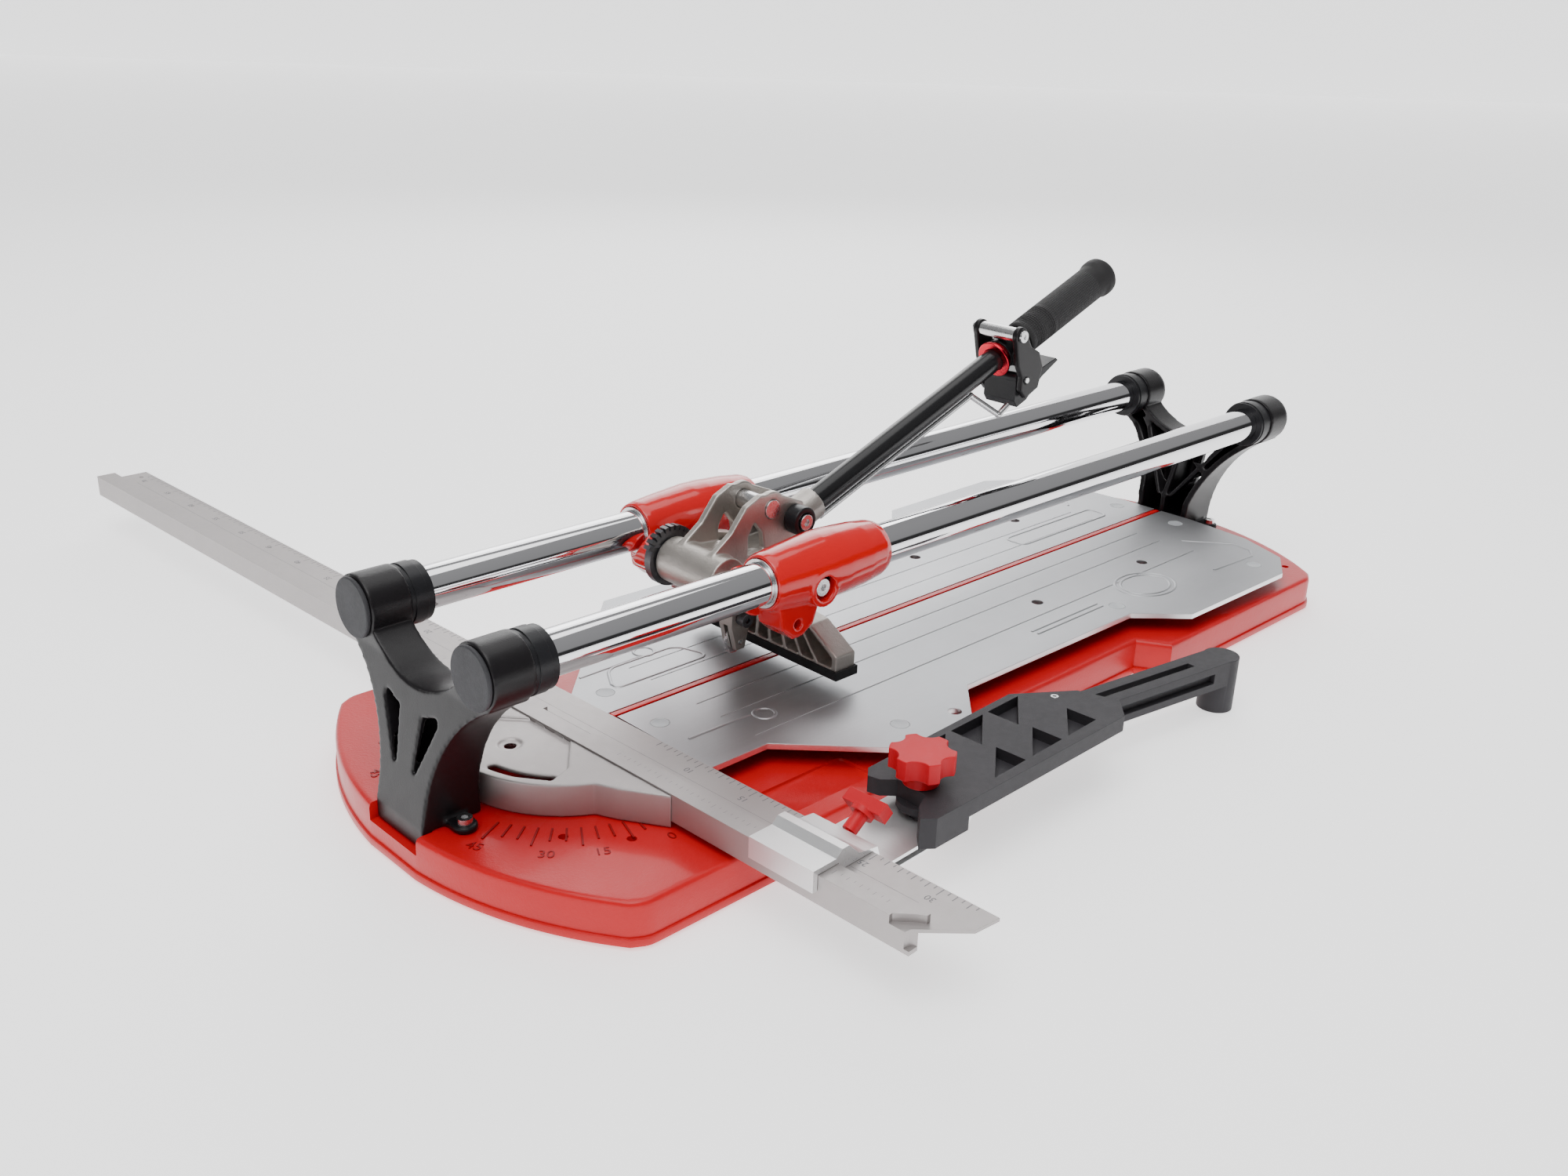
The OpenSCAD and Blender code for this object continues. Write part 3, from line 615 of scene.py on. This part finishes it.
def dress(names, look, width=0.0, segments=2, voxel=0.0, rounds=6):
    """A finish for CAD nodes, with rounded edges or a cast skin."""
    for name in names:
        piece = NODES[name]
        piece.data.materials.clear()
        piece.data.materials.append(finish(look))
        piece.data.polygons.foreach_set("use_smooth", [True] * len(piece.data.polygons))
        if voxel:
            cast_skin(piece, voxel, rounds)
        elif width:
            soften(piece, width, segments)


def digits(text, size, place, thickness=0.35):
    """Vertices and faces of a number, lying flat, at a place matrix (metres)."""
    curve = bpy.data.curves.new("number", "FONT")
    curve.body = text
    curve.size = size * MM
    curve.extrude = thickness * MM / 2
    curve.align_x = "CENTER"
    curve.align_y = "CENTER"
    curve.resolution_u = 3
    holder = bpy.data.objects.new("number", curve)
    bpy.context.scene.collection.objects.link(holder)
    bpy.context.view_layer.update()
    shape = holder.evaluated_get(bpy.context.evaluated_depsgraph_get())
    mesh = shape.to_mesh()
    verts = [place @ v.co for v in mesh.vertices]
    faces = [tuple(p.vertices) for p in mesh.polygons]
    shape.to_mesh_clear()
    bpy.data.objects.remove(holder)
    bpy.data.curves.remove(curve)
    return verts, faces


def add_digits(builder, text, size, place, thickness=0.35):
    verts, faces = digits(text, size, place, thickness)
    first = len(builder.verts)
    builder.verts += [Vector(v) for v in verts]
    builder.faces += [tuple(first + i for i in f) for f in faces]


# ---- base ----

HALF_WIDTH = 177.0
NEAR_ARC = (-181.5, 281.7)
FAR_ARC = (188.4, 274.5)
SEAT_HALF = 28.3
RIBS = [(-250, 160), (-120, 160), (230, 150), (340, 160)]
RIB_WIDTH, RIB_TOP = 5, 17.5


def base_outline(inset, seats):
    """The base seen from above, inset by a distance; seats cuts the two feet's notches."""
    w = HALF_WIDTH - inset
    out = []

    def arc(centre, radius, start, end, count=26):
        for i in range(count + 1):
            a = start + (end - start) * i / count
            out.append((centre + radius * math.cos(a), radius * math.sin(a)))

    def side(sign):
        run = (200 - w) / (48 + inset)
        left = [(-96 - inset + 12 * run, w), (-84 - inset, 152 - inset)]
        right = [(142 + inset, 152 - inset), (172 + inset - 30 * run, w)]
        points = left + right
        if sign > 0:
            points.reverse()
        out.extend((x, sign * y) for x, y in points)

    for centre, radius, facing, seat_x, sign in (
        (NEAR_ARC[0], NEAR_ARC[1] - inset, math.pi, -447.7, -1),
        (FAR_ARC[0], FAR_ARC[1] - inset, 0.0, 449.7, 1),
    ):
        half = math.asin((w - 6) / radius)
        notch = math.asin(SEAT_HALF / radius)
        ends = [(facing - half, facing - notch), (facing + notch, facing + half)]
        corner_x = centre + math.cos(facing) * math.sqrt(radius**2 - w**2)
        inward = -math.cos(facing)
        arc(centre, radius, *ends[0])
        if seats:
            s = 1 if facing > 1 else -1
            out.append((seat_x, s * SEAT_HALF))
            out.append((seat_x, -s * SEAT_HALF))
        else:
            arc(centre, radius, ends[0][1] + 0.004, ends[1][0] - 0.004, 1)
        arc(centre, radius, *ends[1])
        s = -1 if facing > 1 else 1
        for reach, drop in ((3.0, 1.6), (7.0, 0.3), (12.0, 0.0)):
            out.append((corner_x + inward * reach, s * (w - drop)))
        side(s)
        s = -s
        other = FAR_ARC if facing > 1 else NEAR_ARC
        far_sign = 1 if facing > 1 else -1
        next_x = other[0] + far_sign * math.sqrt((other[1] - inset) ** 2 - w**2)
        for reach, drop in ((12.0, 0.0), (7.0, 0.3), (3.0, 1.6)):
            out.append((next_x - far_sign * reach, -s * (w - drop)))
    return out


def build_base():
    b = Builder()

    def ring(inset, z, seats):
        return [(x, y, z) for x, y in base_outline(inset, seats)]

    under = [(9, 17), (7, 4), (6.2, 2.2), (5.4, 2.0), (0.8, 2.0), (0.2, 2.3), (0, 2.9),
             (0, 7.0), (0.3, 7.7), (0.9, 8.0), (1.6, 8.1), (1.5, 9.0), (1.5, 19.7)]
    b.loft([ring(i, z, False) for i, z in under], True, True)
    over = [(1.5, 19.7), (1.6, 27.6), (1.9, 29.4), (2.5, 30.8), (3.4, 31.6), (4.6, 31.95),
            (6.0, 32.0), (9.0, 32.0)]
    b.loft([ring(i, z, True) for i, z in over])
    top = base_outline(9.0, True)
    holes = [circle(x, s * y, r) for s in (-1, 1)
             for x, y, r in ((-360, 115.6, 3.2), (-390.6, 86, 3.2), (400, 146, 3.2))]
    panels = [rounded([(-283, s * 127), (-186, s * 127), (-186, s * 160), (-262, s * 160)], 8)
              for s in (-1, 1)]
    b.flat([top] + holes + panels, 32.0)
    for hole in holes:
        b.loft([[(x, y, z) for x, y in hole] for z in (32.0, 27.0)], False, True)
    for panel in panels:
        cx = sum(p[0] for p in panel) / len(panel)
        cy = sum(p[1] for p in panel) / len(panel)
        rings = []
        for z, shrink in ((32.0, 1.0), (31.6, 0.992), (30.2, 0.975), (29.8, 0.95)):
            rings.append([(cx + (x - cx) * shrink, cy + (y - cy) * shrink, z) for x, y in panel])
        b.loft(rings, False, True)
    for x, y in FOOT_SPOTS:
        b.turned([(5.2, 20.4), (5.8, 21), (17.5, 21)], (x, y, 0), (0, 0, 1), 40)
    b.box((-440, -9, 5.2), (442, 9, RIB_TOP))
    for x, reach in RIBS:
        b.box((x, -reach, 6), (x + RIB_WIDTH, reach, RIB_TOP))
    b.piece("base_body", "base_enamel", "frame", "red_base", ["base_shell"], 28)


FOOT_SPOTS = [(0, 0), (-330, 120), (-330, -120), (330, 120), (330, -120), (60, 118), (60, -118)]


def build_protractor():
    """Raised ticks and plain numbers of the angle scale on both sides of the near end."""
    b = Builder()
    for s in (-1, 1):
        for i in range(12):
            a = math.radians(180 - s * (27 + 5 * i))
            long_mark = i % 3 == 0
            r0, r1 = 101.5, 122 if long_mark else 116
            direction = Vector((math.cos(a), math.sin(a)))
            across = Vector((-direction.y, direction.x)) * 0.65
            quad = [SQUARE_PIVOT.to_2d() / MM + direction * r0 - across,
                    SQUARE_PIVOT.to_2d() / MM + direction * r1 - across,
                    SQUARE_PIVOT.to_2d() / MM + direction * r1 + across,
                    SQUARE_PIVOT.to_2d() / MM + direction * r0 + across]
            low = b.add([(q.x, q.y, 31.6) for q in quad])
            high = b.add([(q.x, q.y, 32.8) for q in quad])
            b.strip(low, high)
            b.faces.append(tuple(high))
        for i, text in ((0, "45"), (4, "30"), (7, "15"), (11, "0")):
            a = math.radians(180 - s * (27 + 5 * i))
            where = SQUARE_PIVOT + Vector((math.cos(a), math.sin(a), 0)) * 0.131
            spin = Matrix.Rotation(a + math.pi / 2, 4, "Z")
            place = Matrix.Translation((where.x, where.y, 0.0321)) @ spin
            add_digits(b, text, 11, place, 0.6)
    b.piece("protractor_scale", "scale_enamel", "frame", "red_base", (), 20)


# ---- tables ----

PAD_SPOTS = [(-142, 142), (384, 34), (341, 143.5), (-268, 31), (160, 118)]
POST_SPOTS = [(-240, 60), (-60, 95), (170, 95), (340, 100)]
BEAD_RADIUS, BEAD_HEIGHT = 1.7, 47.0
COIL_RADIUS, WIRE_RADIUS = 6.9, 0.55
COIL_TURNS, COIL_FOOT, COIL_RISE = 4.0, 32.6, 10.3


def oval(x, y, rx, ry, count=48):
    return [(x + rx * math.cos(2 * math.pi * i / count), y + ry * math.sin(2 * math.pi * i / count))
            for i in range(count + 1)]


def table_beads(side):
    """Pressed beads of one table as open or closed runs, for the side given by its sign."""
    runs = [
        [(345, 66), (366, 90), (377, 104), (372, 122), (360, 131), (300, 127)],
        [(-268, 62), (-212, 63)],
        oval(-203, 68, 8, 8, 28),
    ]
    if side < 0:
        runs += [oval(221, 106, 31, 24), oval(221, 106, 26, 19)]
    else:
        runs += [
            rounded([(216, 24), (352, 24), (352, 46), (216, 46)], 8) + [(217, 32)],
            rounded([(-260, 31), (-168, 31), (-178, 61), (-244, 61)], 10) + [(-257, 38)],
        ]
    runs += [[(60, 104), (150, 104)], [(60, 110), (150, 110)]]
    return [[(x, side * y, BEAD_HEIGHT) for x, y in run] for run in runs]


def build_table_details():
    for side, name in ((-1, "right"), (1, "left")):
        body = f"table_{name}_body"
        b = Builder()
        for run in table_beads(side):
            b.tube(run, BEAD_RADIUS, 12)
        b.piece(f"table_beads_{name}", "table_alloy", body, "plate", (), 60)
        dots = Builder()
        for x, y in PAD_SPOTS:
            dots.turned([(46.2, 6.9), (47.7, 6.9), (48.05, 6.5), (48.12, 5.6), (48.0, 5.2),
                         (48.0, 0.5)], (x, side * y, 0), (0, 0, 1), 40)
        dots.piece(f"dots_{name}", "dot_rubber", body, "rubber", [f"pads_{name}"], 30)


def build_springs():
    """Coil springs standing on the base under the tables."""
    for side, name in ((-1, "right"), (1, "left")):
        b = Builder()
        for x, y in POST_SPOTS:
            path = []
            for i in range(97):
                t = i / 96
                a = 2 * math.pi * COIL_TURNS * t
                path.append((x + COIL_RADIUS * math.cos(a), side * y + COIL_RADIUS * math.sin(a),
                             COIL_FOOT + COIL_RISE * t))
            b.tube(path, WIRE_RADIUS, 8)
        coil = b.piece(f"coils_{name}", "bright_steel", "frame", "steel", [f"springs_{name}"])
        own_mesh(coil)


# ---- square ----

SCALE_START = 60
ON_SQUARE = Matrix.Translation(SQUARE_PIVOT) @ Matrix.Rotation(SQUARE_ANGLE, 4, "Z")


def build_rulers():
    """Engraved millimetre scales and numbers along both arms of the square."""
    b = Builder(ON_SQUARE)
    for sign, end in ((-1, 330), (1, 715)):
        for d in range(SCALE_START, end, 5):
            length = 7.5 if d % 50 == 0 else (5.5 if d % 10 == 0 else 3.2)
            y = sign * d
            b.box((30.2 - length, y - 0.3, 50.8), (30.2, y + 0.3, 51.05))
            if d < 295 and (sign < 0 or d % 10 == 0):
                b.box((-6.0 - length * 0.6, y - 0.14, 56.3), (-6.0, y + 0.14, 56.52))
        for d in range((SCALE_START // 50 + 1) * 50, end, 50):
            spot = Vector((17.5, sign * d, 50.95)) * MM
            turn = Matrix.Rotation(math.pi / 2, 4, "Z")
            add_digits(b, str(d // 10), 7.0, ON_SQUARE @ Matrix.Translation(spot) @ turn, 0.2)
    for x in (2.6, 9.5):
        b.box((x, -298, 50.8), (x + 0.25, 700, 51.02))
    b.piece("ruler_scale", "scale_ink", "square", "blasted", (), 20)


# ---- handle ----

ON_HANDLE = Matrix.Translation(HANDLE_START) @ Matrix.Rotation(-HANDLE_ANGLE, 4, "Y")


def build_grip():
    b = Builder(ON_HANDLE)
    profile = [(297, 9.7), (297.2, 13.6), (298.4, 14.8), (300, 15.0)]
    for i in range(11):
        s = 303 + i * 2.4
        profile += [(s, 15.0), (s + 0.5, 14.45), (s + 1.2, 14.45), (s + 1.7, 15.0)]
    profile += [(332, 15.0), (333, 14.7), (334, 15.0), (402, 15.0), (404, 15.3), (406.4, 16.6),
                (408, 16.8), (412.6, 16.8), (415, 16.2), (417.6, 14.2), (419.2, 11.2),
                (419.9, 7.0), (420, 1.0)]
    b.turned(profile, (0, 0, 0), (1, 0, 0), 64)
    b.piece("handle_grip_sleeve", "grip_rubber", "lever", "grip", ["handle_grip"], 40)


# ---- settings ----


class TileCutterSettings(bpy.types.PropertyGroup):
    base_red: FloatVectorProperty(
        name="Base red", description="Enamel of the base", subtype="COLOR", size=3,
        min=0, max=1, default=(0.60, 0.003, 0.008),
    )
    housing_red: FloatVectorProperty(
        name="Housing red", description="Gloss enamel of the bearing housings",
        subtype="COLOR", size=3, min=0, max=1, default=(0.68, 0.001, 0.004),
    )
    knob_red: FloatVectorProperty(
        name="Knob red", description="Plastic of the knobs", subtype="COLOR", size=3,
        min=0, max=1, default=(0.62, 0.003, 0.014),
    )
    support_black: FloatVectorProperty(
        name="Support black", description="Powder coat of the rail supports",
        subtype="COLOR", size=3, min=0, max=1, default=(0.007, 0.006, 0.007),
    )
    arm_grey: FloatVectorProperty(
        name="Arm grey", description="Plastic of the side gauge", subtype="COLOR", size=3,
        min=0, max=1, default=(0.034, 0.032, 0.036),
    )
    table_grey: FloatVectorProperty(
        name="Table grey", description="Metal of the tables", subtype="COLOR", size=3,
        min=0, max=1, default=(0.46, 0.465, 0.48),
    )
    square_grey: FloatVectorProperty(
        name="Square grey", description="Metal of the square", subtype="COLOR", size=3,
        min=0, max=1, default=(0.44, 0.41, 0.405),
    )
    casting_grey: FloatVectorProperty(
        name="Casting grey", description="Metal of the lever casting", subtype="COLOR",
        size=3, min=0, max=1, default=(0.50, 0.465, 0.43),
    )
    grip_grey: FloatVectorProperty(
        name="Grip grey", description="Rubber of the grip", subtype="COLOR", size=3,
        min=0, max=1, default=(0.030, 0.029, 0.030),
    )


class StageSettings(bpy.types.PropertyGroup):
    lens: FloatProperty(
        name="Lens", description="Focal length", unit="NONE", min=10, default=33.43
    )
    floor_glow: FloatProperty(
        name="Floor glow", description="Light given off by the floor", min=0, default=1.1
    )
    sky_strength: FloatProperty(
        name="Sky", description="Strength of the room's light", min=0, default=0.32
    )
    key_power: FloatProperty(
        name="Key light", description="Power of the large soft light", unit="POWER",
        min=0, default=38,
    )


class Settings:
    """Both property groups read as one."""

    def __getattr__(self, name):
        scene = bpy.context.scene
        for group in (scene.tile_cutter, scene.tile_cutter_stage):
            if name in group.__annotations__:
                return getattr(group, name)
        raise AttributeError(name)


def settings():
    return Settings()


# ---- operators ----


class BuildOperator:
    bl_options = {"REGISTER"}

    def execute(self, context):
        self.build()
        return {"FINISHED"}


class TILECUTTER_OT_base(BuildOperator, bpy.types.Operator):
    """Base casting, its angle scale, feet and breaking bar"""

    bl_idname = "tilecutter.base"
    bl_label = "Base"

    def build(self):
        build_base()
        build_protractor()
        dress(["breaking_bar"], "base_enamel", 0.6)
        dress(["base_feet"], "plain_rubber", 0.8)


class TILECUTTER_OT_rails(BuildOperator, bpy.types.Operator):
    """Rails with their supports, collars, caps and bolts"""

    bl_idname = "tilecutter.rails"
    bl_label = "Rails"

    def build(self):
        dress(["rail_right", "rail_left"], "rail_chrome", 0.5)
        dress(["support_near", "support_far"], "powder_black", voxel=1.1, rounds=7)
        dress(["rail_collars"], "collar_plastic", 0.8, 3)
        dress(["end_caps"], "cap_plastic", 1.2, 3)
        dress(["support_bolts", "table_posts", "square_pin"], "bright_steel", 0.4)


class TILECUTTER_OT_tables(BuildOperator, bpy.types.Operator):
    """Sprung tables with their beads, dots and coil springs"""

    bl_idname = "tilecutter.tables"
    bl_label = "Tables"

    def build(self):
        dress(["table_right", "table_left"], "table_alloy", 0.5)
        build_table_details()
        build_springs()


class TILECUTTER_OT_square(BuildOperator, bpy.types.Operator):
    """Swivelling square with its scales"""

    bl_idname = "tilecutter.square"
    bl_label = "Square"

    def build(self):
        dress(["swivel_body"], "blasted_alloy", voxel=0.8, rounds=3)
        dress(["square_bar"], "blasted_alloy", 0.5)
        build_rulers()


class TILECUTTER_OT_gauge(BuildOperator, bpy.types.Operator):
    """Slider, side gauge and their knobs"""

    bl_idname = "tilecutter.gauge"
    bl_label = "Side gauge"

    def build(self):
        dress(["slider"], "slider_alloy", 0.3)
        dress(["gauge_arm", "gauge_extension"], "arm_plastic", 1.4, 3)
        dress(["star_knob", "slider_screw"], "knob_plastic", 1.6, 3)
        dress(["clamp_bolt", "extension_screw"], "bright_steel", 0.3)


class TILECUTTER_OT_carriage(BuildOperator, bpy.types.Operator):
    """Carriage housings, axle and ratchet"""

    bl_idname = "tilecutter.carriage"
    bl_label = "Carriage"

    def build(self):
        dress(["housing_right", "housing_left"], "housing_enamel", voxel=0.8, rounds=9)
        dress(["rail_bearings", "carriage_axle", "stop_pin", "bearing_screws"], "bright_steel", 0.4)
        dress(["ratchet_wheel"], "dark_steel", 0.5)


class TILECUTTER_OT_lever(BuildOperator, bpy.types.Operator):
    """Lever casting, handle, trigger and linkage"""

    bl_idname = "tilecutter.lever"
    bl_label = "Lever"

    def build(self):
        dress(["lever_casting"], "cast_alloy", voxel=0.8, rounds=6)
        dress(["pawl", "wheel_holder"], "cast_alloy", 0.6, 3)
        dress(
            ["cross_roller", "lever_screws", "bracket_pin", "bracket_screws", "trigger_pin",
             "pawl_pin", "wheel_axle", "foot_pin"], "bright_steel", 0.5,
        )
        dress(["link_rod"], "bright_steel")
        dress(["lever_bosses"], "collar_plastic", 1.4, 3)
        dress(["handle_tube"], "tube_black", 0.5)
        dress(["trigger_bracket"], "powder_black", voxel=0.7, rounds=5)
        dress(["trigger"], "collar_plastic", 1.2, 3)
        dress(["ring_clamp"], "red_anodised", 0.8, 3)
        dress(["wheel_bolt"], "dark_steel", 0.5)
        build_grip()


class TILECUTTER_OT_tool(BuildOperator, bpy.types.Operator):
    """Scoring wheel and presser foot"""

    bl_idname = "tilecutter.tool"
    bl_label = "Wheel and foot"

    def build(self):
        dress(["scoring_wheel"], "bright_steel", 0.1)
        dress(["presser_foot"], "cast_alloy", voxel=0.8, rounds=5)
        dress(["foot_pad"], "plain_rubber", 0.6)


class TILECUTTER_OT_stage(BuildOperator, bpy.types.Operator):
    """Floor, soft lights, sky and camera"""

    bl_idname = "tilecutter.stage"
    bl_label = "Stage"

    def build(self):
        stage_floor()
        stage_light()
        stage_camera()


def stage_floor():
    mesh = bpy.data.meshes.new("floor")
    reach = 30.0
    mesh.from_pydata(
        [(-reach, -reach, 0), (reach, -reach, 0), (reach, reach, 0), (-reach, reach, 0)],
        [], [(0, 1, 2, 3)],
    )
    wall = bpy.data.meshes.new("backdrop")
    away, wide, tall = 9.0, 14.0, 7.0
    ahead, across = Vector((0.7, 0.7, 0)) * away, Vector((0.7, -0.7, 0)) * wide
    corners = [ahead - across, ahead + across, ahead + across, ahead - across]
    corners = [c + Vector((0, 0, z)) for c, z in zip(corners, (0, 0, tall, tall))]
    wall.from_pydata([tuple(c) for c in corners], [], [(0, 1, 2, 3)])
    for name, shape in (("floor", mesh), ("backdrop", wall)):
        piece = bpy.data.objects.new(name, shape)
        shape.materials.append(finish("floor_white"))
        bpy.context.scene.collection.objects.link(piece)


def soft_light(name, place, target, size, power, shape=1.0):
    light = bpy.data.lights.new(name, "AREA")
    light.shape = "RECTANGLE"
    light.size = size
    light.size_y = size * shape
    light.energy = power
    holder = bpy.data.objects.new(name, light)
    holder.location = place
    holder.rotation_euler = (Vector(target) - Vector(place)).to_track_quat("-Z", "Y").to_euler()
    bpy.context.scene.collection.objects.link(holder)


def stage_light():
    s = settings()
    world = bpy.data.worlds.new("studio")
    bpy.context.scene.world = world
    world.use_nodes = True
    tree = world.node_tree
    place = tree.nodes.new("ShaderNodeTexCoord")
    parts = tree.nodes.new("ShaderNodeSeparateXYZ")
    ramp = tree.nodes.new("ShaderNodeValToRGB")
    stops = [(0.0, 0.9), (0.49, 0.9), (0.505, 0.10), (0.60, 0.10), (0.64, 0.85), (1.0, 1.0)]
    scaled = tree.nodes.new("ShaderNodeMath")
    scaled.operation = "MULTIPLY_ADD"
    scaled.inputs[1].default_value = 0.5
    scaled.inputs[2].default_value = 0.5
    elements = ramp.color_ramp.elements
    while len(elements) < len(stops):
        elements.new(0.5)
    for element, (position, shade) in zip(elements, stops):
        element.position = position
        element.color = (shade, shade, shade * 1.01, 1)
    tree.links.new(place.outputs["Generated"], parts.inputs[0])
    tree.links.new(parts.outputs[2], scaled.inputs[0])
    tree.links.new(scaled.outputs[0], ramp.inputs[0])
    background = tree.nodes["Background"]
    tree.links.new(ramp.outputs[0], background.inputs[0])
    background.inputs[1].default_value = s.sky_strength
    soft_light("key", (-1.1, -0.6, 2.2), (0, 0, 0.05), 1.8, s.key_power)
    soft_light("rear", (1.4, 1.6, 1.5), (0, 0, 0.1), 1.6, s.key_power * 0.6)
    soft_light("overhead", (0.1, 0.2, 2.6), (0, 0.1, 0), 2.2, s.key_power * 0.8)


CAMERA_TURNS = (45.429, 22.224, 1.797)  # heading, drop and roll in degrees
CAMERA_PLACE = (-0.84128, -0.73165, 0.52043)


def stage_camera():
    heading, drop, roll = (math.radians(a) for a in CAMERA_TURNS)
    ahead = Vector(
        (math.cos(heading) * math.cos(drop), math.sin(heading) * math.cos(drop), -math.sin(drop))
    )
    level = Vector((math.sin(heading), -math.cos(heading), 0))
    upright = level.cross(ahead)
    right = level * math.cos(roll) + upright * math.sin(roll)
    up = upright * math.cos(roll) - level * math.sin(roll)
    camera = bpy.data.cameras.new("camera")
    camera.lens = settings().lens
    camera.sensor_width = 36
    holder = bpy.data.objects.new("camera", camera)
    turn = Matrix((right, up, -ahead)).transposed().to_4x4()
    holder.matrix_world = Matrix.Translation(CAMERA_PLACE) @ turn
    bpy.context.scene.collection.objects.link(holder)
    bpy.context.scene.camera = holder


STEPS = (
    TILECUTTER_OT_base, TILECUTTER_OT_rails, TILECUTTER_OT_tables, TILECUTTER_OT_square,
    TILECUTTER_OT_gauge, TILECUTTER_OT_carriage, TILECUTTER_OT_lever, TILECUTTER_OT_tool,
    TILECUTTER_OT_stage,
)


class TILECUTTER_PT_panel(bpy.types.Panel):
    bl_label = "Tile cutter"
    bl_idname = "TILECUTTER_PT_panel"
    bl_space_type = "VIEW_3D"
    bl_region_type = "UI"
    bl_category = "Tile cutter"

    def draw(self, context):
        scene = context.scene
        for group in (scene.tile_cutter, scene.tile_cutter_stage):
            for name in group.__annotations__:
                self.layout.prop(group, name)
        for step in STEPS:
            self.layout.operator(step.bl_idname)


CLASSES = (TileCutterSettings, StageSettings, *STEPS, TILECUTTER_PT_panel)


def register():
    for item in CLASSES:
        bpy.utils.register_class(item)
    bpy.types.Scene.tile_cutter = PointerProperty(type=TileCutterSettings)
    bpy.types.Scene.tile_cutter_stage = PointerProperty(type=StageSettings)


def unregister():
    del bpy.types.Scene.tile_cutter
    del bpy.types.Scene.tile_cutter_stage
    for item in reversed(CLASSES):
        bpy.utils.unregister_class(item)


def main():
    register()
    for step in STEPS:
        group, name = step.bl_idname.split(".")
        if getattr(getattr(bpy.ops, group), name)() != {"FINISHED"}:
            raise RuntimeError(f"{step.bl_label} was not built")


if __name__ == "__main__":
    main()
